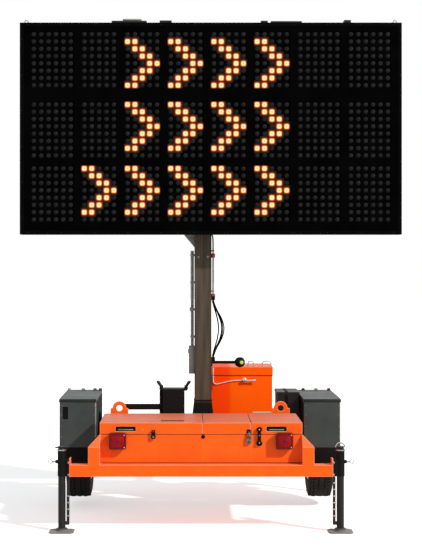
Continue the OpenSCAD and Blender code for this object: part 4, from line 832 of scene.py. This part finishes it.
# %% Tail lamps
lens_front = low_high("lamp_lenses")[0][1]
(_, lens_back, lens_low), (_, _, lens_high) = low_high("lamp_housings")
LAMP_X, LAMP_Z = 570, (lens_low + lens_high) / 2
RIM_HALF, LENS_HALF, RIB_RADII = 58, (44, 42), (34, 27, 20)
rims, lenses, lamp_screws, reflectors = (bmesh.new() for _ in range(4))
for side in (-1, 1):
    x = side * LAMP_X
    block(rims, (x - RIM_HALF, lens_front, lens_low), (x + RIM_HALF, lens_back, lens_high), 9, 4)
    front = min(rims.faces, key=lambda f: (f.calc_center_median() - at(x, lens_front, LAMP_Z)).length)
    bmesh.ops.inset_region(rims, faces=[front], thickness=4 * MM, depth=-3 * MM)
    block(lenses, (x - LENS_HALF[0], lens_front + 0.5, LAMP_Z - LENS_HALF[1]),
          (x + LENS_HALF[0], lens_back, LAMP_Z + LENS_HALF[1]), 5, 3)
    for rib in RIB_RADII:
        turned(lenses, [(rib - 3, 0), (rib - 1.5, 1.3), (rib + 1.5, 1.3), (rib + 3, 0)],
               at(x, lens_front + 1, LAMP_Z), REAR, 32)
    turned(reflectors, [(0, 0), (13, 0), (13, 1), (10, 1.6), (0, 1.8)],
           at(x, lens_front + 0.8, LAMP_Z), REAR, 24)
    for dz in (-42, 42):
        rivet(lamp_screws, at(x + 47, lens_front + 3, LAMP_Z + dz), REAR, 5)
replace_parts(piece("tail_lamp_rims", rims, "trailer", dark_red_lens), "lamp_lenses")
piece("tail_lamp_lenses", lenses, "trailer", red_lens)
piece("tail_lamp_reflectors", reflectors, "trailer", dark_red_lens)
piece("tail_lamp_screws", lamp_screws, "trailer", pale_aluminium_and_highlight)

# %% [markdown]
# A fender is a folded box with hemmed edges. The strips along its near right edge are the
# turned hems, paler with a painted highlight where the sun catches them. A darker strip of
# painted shade runs under its top, where the cap is turned down over the box. Rubber sheets
# line its inner side, with the arch cut out, another closes the left fender's slot from
# behind, and a short flap hangs below its near edge.

# %% Fenders: hems, liners, flaps and caps
FENDER_IN, FENDER_FOOT, ARCH_RADIUS = 760.5, 483, 342
(_, fender_near, _), (fender_out, fender_far, fender_top) = low_high("fenders")
fender_near, fender_far = fender_near + 2, fender_far - 2
# The hem strips are pale with a painted highlight.
hem_highlights, liners = bmesh.new(), bmesh.new()
block(hem_highlights, (-770, fender_near - 1.5, 560), (-760.5, fender_near, 812), 0.6, 2)
block(hem_highlights, (1022, fender_near - 1.5, 500), (1029.5, fender_near, 812), 0.6, 2)
arch = [(ARCH_RADIUS * math.cos(math.radians(a)), WHEEL_Z + ARCH_RADIUS * math.sin(math.radians(a)))
        for a in range(158, 21, -8)]
for x in (-761, 760):
    outline = [(x, -418, FENDER_FOOT), *((x, y, z) for y, z in arch if z > FENDER_FOOT),
               (x, 358, FENDER_FOOT), (x, 358, 812), (x, -418, 812)]
    plate(liners, outline, 1, RIGHT)
block(liners, (-1016, fender_near + 4, 682), (-960, fender_near + 5.5, 786), 1, 1)
for side in (-1, 1):
    block(liners, (side * 1010, fender_near - 3.5, 372),
          (side * 762, fender_near + 1, FENDER_FOOT), 1.5, 2)
# The dark strips under the fenders' tops are painted shade.
caps = bmesh.new()
for side in (-1, 1):
    inner, outer = side * FENDER_IN, side * (fender_out + 1.8)
    block(caps, (min(inner, outer), fender_near - 3, fender_top - 24),
          (max(inner, outer), fender_near - 1.5, fender_top - 4), 0.6, 2)
piece("fender_cap_shade", caps, "trailer", slate_fold_shade)
piece("fender_hem_highlights", hem_highlights, "trailer", pale_slate_and_hem_highlight)
piece("fender_liners", liners, "trailer", black_rubber)

# %% [markdown]
# Small markers stand on the fenders' tops: domes on a low foot, grey on the left and red
# on the right. Bolts hold the fenders down to their outriggers.

# %% Fenders: markers and bolts
MARKER_Y, MARKER_FOOT = 300, 839
MARKER = [(0, 0), (15, 0), (15, 3), (13.5, 4), (13.5, 11), (12, 14.5), (8, 17), (0, 17.8)]
brackets, fender_bolts = bmesh.new(), bmesh.new()
for side, colour in ((-1, grey_plastic), (1, dark_red_lens)):
    markers = bmesh.new()
    for x in (1014, 814):
        turned(markers, MARKER, at(side * x, MARKER_Y, MARKER_FOOT), UP, 20)
    piece("markers_left" if side < 0 else "markers_right", markers, "trailer", colour)
    for x in (905, 772) if side < 0 else (914,):
        block(brackets, (side * x - 14, MARKER_Y - 14, MARKER_FOOT),
              (side * x + 14, MARKER_Y + 14, MARKER_FOOT + 14), 4, 3)
        turned(brackets, [(0, 0), (11, 0), (11, 2), (7, 4), (0, 4)],
               at(side * x, MARKER_Y, MARKER_FOOT + 13), UP, 16)
    for y in (fender_near + 20, fender_far - 20):
        for x in (790, 880, 970):
            bolt(fender_bolts, at(side * x, y, 440), DOWN, 5)
    for z in (560, 640, 720, 790):
        rivet(fender_bolts, at(side * 775, fender_near, z), REAR, 3)
        rivet(fender_bolts, at(side * 1017, fender_near, z), REAR, 3)
piece("marker_brackets", brackets, "trailer", grey_plastic)
piece("fender_bolts", fender_bolts, "trailer", galvanised)

# %% [markdown]
# A tyre's section is turned from its outline, with ribs on the sidewall and four grooves
# round the tread. The gaps between small blocks on the tread and on its shoulders are its
# cross cuts: one block is made, and spin repeats it all the way round.

# %% Tyres
BLOCKS_ROUND = 60


def spun_copies(bm, low, high, centre, round_mm=0.0):
    before = set(bm.verts)
    block(bm, low, high, round_mm, 1)
    faces = list({f for v in newcomers(bm, before) for f in v.link_faces})
    bmesh.ops.spin(bm, geom=faces, axis=RIGHT, cent=centre,
                   angle=2 * math.pi * (BLOCKS_ROUND - 1) / BLOCKS_ROUND,
                   steps=BLOCKS_ROUND - 1, use_duplicate=True)


# Radius and distance from the tyre's middle plane
TREAD = [(166, 70), (177, 78), (196, 88), (215, 91.5), (218, 90.5), (222, 91.5), (240, 92), (243, 90.5),
         (247, 91), (262, 90), (280, 86), (292, 80), (298, 72), (301, 62), (301, 58), (296, 56), (296, 50),
         (302, 48), (303.5, 28), (297, 26), (297, 20), (303.5, 18)]
for side, body in ((-1, "wheel_left"), (1, "wheel_right")):
    tyre, hub_at = bmesh.new(), at(side * WHEEL_X, 0, WHEEL_Z)
    turned(tyre, TREAD + [(r, -h) for r, h in reversed(TREAD)] + TREAD[:1], hub_at, (side, 0, 0), 72)
    for from_middle in (50, 3, -44):
        x = side * (WHEEL_X + from_middle)
        spun_copies(tyre, (x - 13, -7, WHEEL_Z + 296), (x + 13, 5, WHEEL_Z + 304.4), hub_at)
    for from_middle in (69, -69):
        x = side * (WHEEL_X + from_middle)
        spun_copies(tyre, (x - 12, -7, WHEEL_Z + 288), (x + 12, 6, WHEEL_Z + 300.5), hub_at, 2)
    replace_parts(piece("tread_" + body, tyre, body, tyre_rubber, 30), "tyre_" + body[6:])

# %% [markdown]
# A valve stands in each rim, and a balance weight is clipped to the rim's edge across from it.

# %% Valves and balance weights
for side, body in ((-1, "wheel_left"), (1, "wheel_right")):
    valve = bmesh.new()
    turned(valve, [(0, 0), (5, 0), (4, 6), (3, 24), (4, 26), (4, 34), (0, 35)],
           at(side * 930, 0, WHEEL_Z + 148), (side, 0, 0), 12)
    block(valve, (side * 984, -20, WHEEL_Z - 163), (side * 989, 20, WHEEL_Z - 156), 1, 1)
    piece("valve_" + body, valve, body, black_rubber)

# %% [markdown]
# The cradle is lined with rubber so that the lowered board doesn't rub. The pads fill part
# of the play beside the board. A black post stands to the cradle's left.

# %% Cradle: pads, bolts and post
SLOT_HALF, PAD_THICK, PAD_NEAR, PAD_FAR = 82, 4, -465, -319
cradle_pads, cradle_post, cradle_bolts = bmesh.new(), bmesh.new(), bmesh.new()
for side in (-1, 1):
    wall = CRADLE_X + side * SLOT_HALF
    left, right = sorted((wall, wall - side * PAD_THICK))
    for low, high in ((929, 936), (918, 929)):
        block(cradle_pads, (left, PAD_NEAR, low), (right, PAD_FAR, high), 1, 1)
    for y in (-445, -339):
        bolt(cradle_bolts, at(CRADLE_X + side * 100, y, 915), (side, 0, 0), 5)
for x in (CRADLE_X - 47, CRADLE_X + 47):
    for z in (700, 780, 860):
        bolt(cradle_bolts, at(x, -467, z), REAR, 5)
turned(cradle_post, [(0, 462), (22, 462), (22, 468), (15, 472), (15, 900), (12, 903), (0, 903)],
       at(-282, -400, 0), UP, 20)
piece("cradle_pads", cradle_pads, "trailer", black_rubber)
piece("cradle_bolts", cradle_bolts, "trailer", black)
piece("cradle_post", cradle_post, "trailer", black)

# %% [markdown]
# The cabinet. Its lid closes on a seal in painted shade. Two wire handles stand on the lid,
# and a pale strip along the front is a painted highlight. A clip on the lid's left edge holds
# the lanyard's end; its pale colour is a painted highlight along that edge.

# %% Cabinet: seal, handles and trim
CABINET_FACE, SEAL_LOW, SEAL_HIGH, LID_TOP = -150, 987, 992.5, 1053
HANDLE_Y, HANDLE_TOP = -100, 1094
cabinet_shade_seal, handles, highlight_strip, clip = bmesh.new(), bmesh.new(), bmesh.new(), bmesh.new()
# The cabinet's seal is painted shade under the lid's edge.
block(cabinet_shade_seal, (CABINET_LEFT, CABINET_FACE - 3.5, SEAL_LOW),
      (CABINET_RIGHT, CABINET_FACE, SEAL_HIGH), 1, 1)
for x0, x1 in ((CABINET_RIGHT, CABINET_RIGHT + 3.5), (CABINET_LEFT - 3.5, CABINET_LEFT)):
    block(cabinet_shade_seal, (x0, CABINET_FACE, SEAL_LOW), (x1, CABINET_BACK, SEAL_HIGH), 1, 1)
for x0, x1 in ((365, 408), (474, 540)):
    half = ((0, -42), (0, -14), (6, -4), (16, 0))
    wire = [(x0 + x, z) for x, z in half] + [(x1 - x, z) for x, z in reversed(half)]
    bent(handles, [(x, HANDLE_Y, HANDLE_TOP + z) for x, z in wire], 4)
# The pale strip on the cabinet's front is a painted highlight.
block(highlight_strip, (398, CABINET_FACE - 1.6, 708), (538, CABINET_FACE, 718), 0.6, 1)
# The clip's pale colour is a painted highlight along the lid's left edge.
block(clip, (98, CABINET_FACE - 6.5, 993), (107, CABINET_FACE - 4, 1049), 1, 2)
piece("cabinet_shade_seal", cabinet_shade_seal, "trailer", orange_shade)
piece("cabinet_handles", handles, "cabinet_lid", zinc)
piece("cabinet_highlight_strip", highlight_strip, "trailer", pale_aluminium_and_highlight)
piece("lanyard_clip_highlight", clip, "cabinet_lid", pale_aluminium_and_highlight)

# %% [markdown]
# The latch is a chrome lever on a round rose. The rose stays on the cabinet, and the lever
# and its hub turn. The lanyard is a cord held at both ends, so its shape is given: straight
# down from its clip, round a small bend and up to the latch.

# %% Cabinet: latch and lanyard
LATCH = (333, CABINET_FACE, 955)
rose, lever, lanyard = bmesh.new(), bmesh.new(), bmesh.new()
turned(rose, [(0, 0), (19, 0), (19, 1), (16, 3), (0, 3)], at(*LATCH), REAR, 28)
turned(lever, [(0, 3.2), (13, 3.2), (13.5, 20), (12, 28), (8, 30), (0, 30)], at(*LATCH), REAR, 28)
block(lever, (LATCH[0], -180, 948), (402, -172, 962), 3, 3)
block(lever, (395, -180, 945), (421, -171.5, 965), 4, 3)
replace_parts(piece("cabinet_lever", lever, "cabinet_latch", chrome), "cabinet_latch")
piece("cabinet_latch_rose", rose, "trailer", chrome)
# From the cabinet's left edge and the lid's top
LANYARD = ((22, -75), (22, -90), (22, -105), (25, -118), (34, -126), (50, -127), (70, -124),
           (92, -119), (115, -113), (140, -107), (165, -103), (190, -101), (215, -100),
           (238.5, -99))
bent(lanyard, [(CABINET_LEFT + x, CABINET_FACE - 8, LID_TOP + z) for x, z in LANYARD], 4, 10)
block(lanyard, (96, CABINET_FACE - 11.5, 974), (108, CABINET_FACE, 988), 2, 2)
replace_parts(piece("lanyard", lanyard, "trailer", cord_white, 60), "latch_lanyard")

# %% [markdown]
# Inside the cabinet: the controller has a small screen and twelve keys, and the pump motor
# has cooling ribs and a cap. They show when the lid is open.

# %% Cabinet: controller and pump
PUMP_Y, PUMP_Z, RIBS, RIB_PITCH = 185, 532, 9, 11
(ctl_x0, ctl_y0, _), (_, _, ctl_top) = low_high("controller")
screen, keys, ribs = bmesh.new(), bmesh.new(), bmesh.new()
block(screen, (ctl_x0 + 20, ctl_y0 + 90, ctl_top), (ctl_x0 + 130, ctl_y0 + 170, ctl_top + 3), 2, 2)
for i in range(4):
    for j in range(3):
        block(keys, (ctl_x0 + 160 + i * 26, ctl_y0 + 90 + j * 28, ctl_top),
              (ctl_x0 + 178 + i * 26, ctl_y0 + 108 + j * 28, ctl_top + 4), 2, 2)
for i in range(RIBS):
    turned(ribs, [(0, 0), (45, 0), (46, 1), (46, 3), (45, 4), (0, 4)],
           at(350 + i * RIB_PITCH, PUMP_Y, PUMP_Z), RIGHT, 28)
turned(ribs, [(0, 0), (40, 0), (38, 6), (20, 9), (0, 10)], at(452, PUMP_Y, PUMP_Z), RIGHT, 28)
piece("controller_screen", screen, "trailer", solar_cells)
piece("controller_keys", keys, "trailer", black_rubber)
piece("pump_ribs", ribs, "trailer", black)

# %% [markdown]
# The batteries have vent caps, and each has a coloured terminal cover and a strap across it.

# %% Batteries
BATTERIES, BATTERY_PITCH, BATTERY_WIDE, BATTERY_TOP = 3, 200, 170, 645
CAPS, CAP_PITCH = 6, 25
caps, straps, covers = bmesh.new(), bmesh.new(), bmesh.new()
for i in range(BATTERIES):
    x = -650 + i * BATTERY_PITCH
    for j in range(CAPS):
        turned(caps, [(0, 0), (9, 0), (9, 4), (7, 6), (0, 6)],
               at(x + 22 + j * CAP_PITCH, -860, BATTERY_TOP), UP, 12)
    turned(covers, [(0, 0), (13, 0), (13, 18), (10, 22), (0, 22)],
           at(x + 35, -900, BATTERY_TOP), UP, 16)
    block(straps, (x - 1.5, -825, 466), (x + BATTERY_WIDE + 1.5, -795, BATTERY_TOP + 2), 2, 2)
piece("battery_caps", caps, "trailer", black_rubber)
piece("terminal_covers", covers, "trailer", signal_red)
piece("battery_straps", straps, "trailer", black)

# %% [markdown]
# The mast's right side carries two thin hoses beside the bowed one and a grey pipe that
# runs on up towards the board, with two red couplings and a clip over each. All are held at
# both ends, and all turn with the mast.

# %% Mast: hoses and pipe
PIPE_X, PIPE_Y, HOSE_X, HOSE_STEPS = 98, -324, 94, 24
# Depth from the pipe, bow, lower end, upper end and radius of each
THIN_HOSES = ((-14, 84, 1150, 1550, 4.5), (16, 44, 1145, 1556, 5))
thin_hoses, pipe, couplings = bmesh.new(), bmesh.new(), bmesh.new()
for dy, bow, low, high, radius in THIN_HOSES:
    bent(thin_hoses, [(HOSE_X + bow * math.sin(math.pi * u / HOSE_STEPS) ** 1.3, PIPE_Y + dy,
                       low + (high - low) * u / HOSE_STEPS) for u in range(HOSE_STEPS + 1)], radius)
bent(pipe, [(PIPE_X, PIPE_Y, z) for z in (1588, 1700, 1850, 1990)]
     + [(PIPE_X - 3, PIPE_Y, 2030), (PIPE_X - 12, PIPE_Y, 2060)], 5.5)
for z in (1592, 1890):
    turned(couplings, [(0, -16), (12, -16), (15, -12), (15, 12), (12, 16), (0, 16)],
           at(PIPE_X, PIPE_Y, z), UP, 6)
    block(pipe, (PIPE_X - 14, PIPE_Y - 8, z + 30), (PIPE_X + 9, PIPE_Y + 8, z + 42), 1.5, 2)
piece("thin_hoses", thin_hoses, "mast", black_rubber, 60)
piece("mast_pipe", pipe, "mast", galvanised, 60)
piece("pipe_couplings", couplings, "mast", signal_red)

# %% [markdown]
# The gusset under the mast's head is galvanised, unlike the painted tube, and is two sheets
# bolted together. Guide screws stand round the head, where they press the slide pads on the
# inner mast. A flat band clamps the boot round the foot of the tube.

# %% Mast: gusset, guide screws and boot clamp
gusset, guides, clamp = bmesh.new(), bmesh.new(), bmesh.new()
GUSSET = ((-40, 2095), (-132, 2095), (-132, 2060), (-40, 1950))
GUSSET_NEAR, MAST_HALF = -377, 62
for y in (GUSSET_NEAR, GUSSET_NEAR + 13):
    plate(gusset, [(x, y, z) for x, z in GUSSET], 1)
for x, z in ((-112, 2078), (-70, 2078), (-62, 2010)):
    bolt(guides, at(x, GUSSET_NEAR, z), REAR, 6)
for z in (1880, 2060):
    for dx in (-35, 35):
        bolt(guides, at(MAST_X + dx, MAST_Y - MAST_HALF, z), REAR, 6)
        bolt(guides, at(MAST_X + dx, MAST_Y + MAST_HALF, z), AHEAD, 6)
CLAMP_HALF, CLAMP_LOW, CLAMP_HIGH = 65.6, 822, 834
for side in (-1, 1):
    y, x = MAST_Y + side * CLAMP_HALF, MAST_X + side * CLAMP_HALF
    block(clamp, (MAST_X - CLAMP_HALF, y - 1, CLAMP_LOW),
          (MAST_X + CLAMP_HALF, y + 1, CLAMP_HIGH), 0.6, 1)
    block(clamp, (x - 1, MAST_Y - CLAMP_HALF, CLAMP_LOW),
          (x + 1, MAST_Y + CLAMP_HALF, CLAMP_HIGH), 0.6, 1)
piece("mast_gusset", gusset, "mast", galvanised)
piece("mast_guide_screws", guides, "mast", galvanised)
piece("boot_clamp", clamp, "mast", black)

# %% [markdown]
# The turning handle's knob carries a round lime mark, the sign for what may be turned by
# hand. The valve box has a lid with four screws.

# %% Mast: knob mark and valve box lid
mark, valve_lid, valve_screws = bmesh.new(), bmesh.new(), bmesh.new()
(_, knob_near, knob_low), (knob_end, _, knob_high) = low_high("turn_handle")
turned(mark, [(0, 0), (13, 0), (13, 4), (10, 6), (0, 6)],
       at(knob_end - 26, knob_near + 1, (knob_low + knob_high) / 2), REAR, 20)
(vx0, vy0, vz0), (vx1, _, vz1) = low_high("valve_box")
block(valve_lid, (vx0 + 9, vy0 - 3, vz0 + 4), (vx1 - 3, vy0, vz1 - 4), 2, 2)
for x in (vx0 + 14, vx1 - 8):
    for z in (vz0 + 12, vz1 - 12):
        rivet(valve_screws, at(x, vy0 - 3, z), REAR, 3)
piece("knob_mark", mark, "mast", lime_mark)
piece("valve_box_lid", valve_lid, "mast", grey_plastic)
piece("valve_box_screws", valve_screws, "mast", zinc)

# %% [markdown]
# The legs. Zinc bolts hold each sleeve's webs to the beam, and a thin ring lies round each
# sleeve's mouth. A wire bail is bent over the near right leg and rides on it. The other legs
# keep their plain bar.

# %% Legs: sleeve bolts, rings and the bail
SLEEVE_TOP, BAIL_RADIUS = 556, 31
LEG_NEAR, LEG_FAR = -1160, 600
sleeve_bolts, bail = bmesh.new(), bmesh.new()
for side in (-1, 1):
    for y, way in ((LEG_NEAR - 38, -1), (LEG_FAR + 38, 1)):
        for z in (395, 478):
            bolt(sleeve_bolts, at(side * 901.5, y, z), (0, way, 0), 5)
    for y in (LEG_NEAR, LEG_FAR):
        turned(sleeve_bolts, [(29.2, 0), (31.5, 0), (31.5, 8), (29.2, 8), (29.2, 0)],
               at(side * LEG_X, y, SLEEVE_TOP), UP, 32)
bent(bail, [(LEG_X - BAIL_RADIUS * math.cos(math.radians(a)), LEG_NEAR,
             SLEEVE_TOP + 22 + BAIL_RADIUS * math.sin(math.radians(a)))
            for a in range(0, 181, 15)], 4.5)
piece("sleeve_bolts", sleeve_bolts, "trailer", zinc)
piece("leg_bail", bail, "leg_rear_right", chrome)

# %% [markdown]
# The drawbar carries the lamp cable to the front in a black sleeve, held down by five
# straps. The coupler is bolted through the drawbar's end, and its lever has a rubber grip.

# %% Drawbar cable, coupler bolts and grip
STRAPS, STRAP_PITCH = 5, 260
loom, coupler_bolts, grip = bmesh.new(), bmesh.new(), bmesh.new()
bent(loom, [(0, 640 + i * 50, 466 + 2 * math.sin(i * 1.3)) for i in range(25)], 7)
for i in range(STRAPS):
    y = 740 + i * STRAP_PITCH
    block(coupler_bolts, (-40.5, y, 455), (40.5, y + 12, 474.5), 2, 2)
for x in (-30, 30):
    for z in (392, 452):
        bolt(coupler_bolts, at(x, 1948, z), AHEAD, 6)
block(grip, (-15.5, 2086, 454), (15.5, 2112, 475.5), 4, 3)
piece("drawbar_loom", loom, "trailer", black_rubber, 60)
piece("coupler_bolts", coupler_bolts, "trailer", zinc)
piece("coupler_grip", grip, "coupler_latch", black_rubber)

# %% [markdown]
# The battery case beside the cabinet is held down by a rubber strap over its lid.

# %% Battery case
(bx0, by0, bz0), (_, by1, bz1) = low_high("battery_case")
case_strap = bmesh.new()
block(case_strap, (bx0 + 60, by0 + 2, bz0), (bx0 + 85, by1 - 2, bz1 + 1.5), 1, 2)
piece("case_strap", case_strap, "trailer", black_rubber)

# %% [markdown]
# The studio. A low key light from the right throws the object's long shadows away to the
# left, and a pale world fills them. The floor is marked as stage, so that it isn't
# part of the object. The camera, mirrors and glass see the world as white, but its light on
# the object is weaker and a little blue. The floor glows to the camera alone, which makes it
# paler and lights nothing.

# %% Floor and world
FLOOR_HALF, FLOOR_GLOW, FILL_STRENGTH = 60, 0.55, 0.5
floor_bm = bmesh.new()
bmesh.ops.create_grid(floor_bm, x_segments=1, y_segments=1, size=FLOOR_HALF)
floor_mesh = bpy.data.meshes.new("floor")
floor_bm.to_mesh(floor_mesh)
floor_bm.free()
floor = bpy.data.objects.new("floor", floor_mesh)
bpy.context.scene.collection.objects.link(floor)
floor_paint, tree = new_material("pale_studio_floor")
seen = add(tree, "LightPath")
matt = add(tree, "BsdfDiffuse", Color=linear("#e9e9e7"))
white = add(tree, "Emission", Strength=FLOOR_GLOW)
share = add(tree, "AddShader", {0: matt.outputs[0], 1: white.outputs[0]})
paler = add(tree, "MixShader", {0: seen.outputs["Is Camera Ray"], 1: matt.outputs[0],
                                2: share.outputs[0]})
add(tree, "OutputMaterial", {"Surface": paler.outputs[0]})
floor_mesh.materials.append(floor_paint)
floor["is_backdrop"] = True

world = bpy.data.worlds.new("studio")
bpy.context.scene.world = world
world.use_nodes = True
tree = world.node_tree
tree.nodes.clear()
rays = add(tree, "LightPath")
seen_or_mirrored = add(tree, "Math", {0: rays.outputs["Is Camera Ray"],
                                      1: rays.outputs["Is Glossy Ray"]}, operation="MAXIMUM")
either = add(tree, "Math", {0: seen_or_mirrored.outputs[0],
                            1: rays.outputs["Is Transmission Ray"]}, operation="MAXIMUM")
fill = add(tree, "Background", Color=linear("#f2f5fa"), Strength=FILL_STRENGTH)
backdrop = add(tree, "Background", Color=(1, 1, 1, 1), Strength=1.0)
both = add(tree, "MixShader", {0: either.outputs[0], 1: fill.outputs[0], 2: backdrop.outputs[0]})
add(tree, "OutputWorld", {"Surface": both.outputs[0]})
print("floor and world ready")

# %% [markdown]
# The key stands about 50 degrees to the right of the camera's line and 35 degrees up. It is
# only 2.5 degrees wide, so that the board's shadow on the mast has a clear edge.

# %% Key light
KEY_RIGHT, KEY_UP, KEY_ANGLE = math.radians(49.5), math.radians(35), math.radians(2.5)
KEY_ENERGY = 3.3
sun_data = bpy.data.lights.new("key", "SUN")
sun_data.energy, sun_data.angle, sun_data.color = KEY_ENERGY, KEY_ANGLE, linear("#fff3e2")[:3]
sun = bpy.data.objects.new("key", sun_data)
towards = Vector((-math.sin(KEY_RIGHT), math.cos(KEY_RIGHT), -math.tan(KEY_UP)))
sun.rotation_mode = "QUATERNION"
sun.rotation_quaternion = towards.to_track_quat("-Z", "Y")
bpy.context.scene.collection.objects.link(sun)
bpy.context.scene.view_settings.view_transform = "Standard"
print("key light", KEY_ENERGY)

# %% [markdown]
# Last, the size of the visual model is measured, from every shown object but the floor:
# looks never change the object's dimensions.

# %% Sizes and finish
low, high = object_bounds()
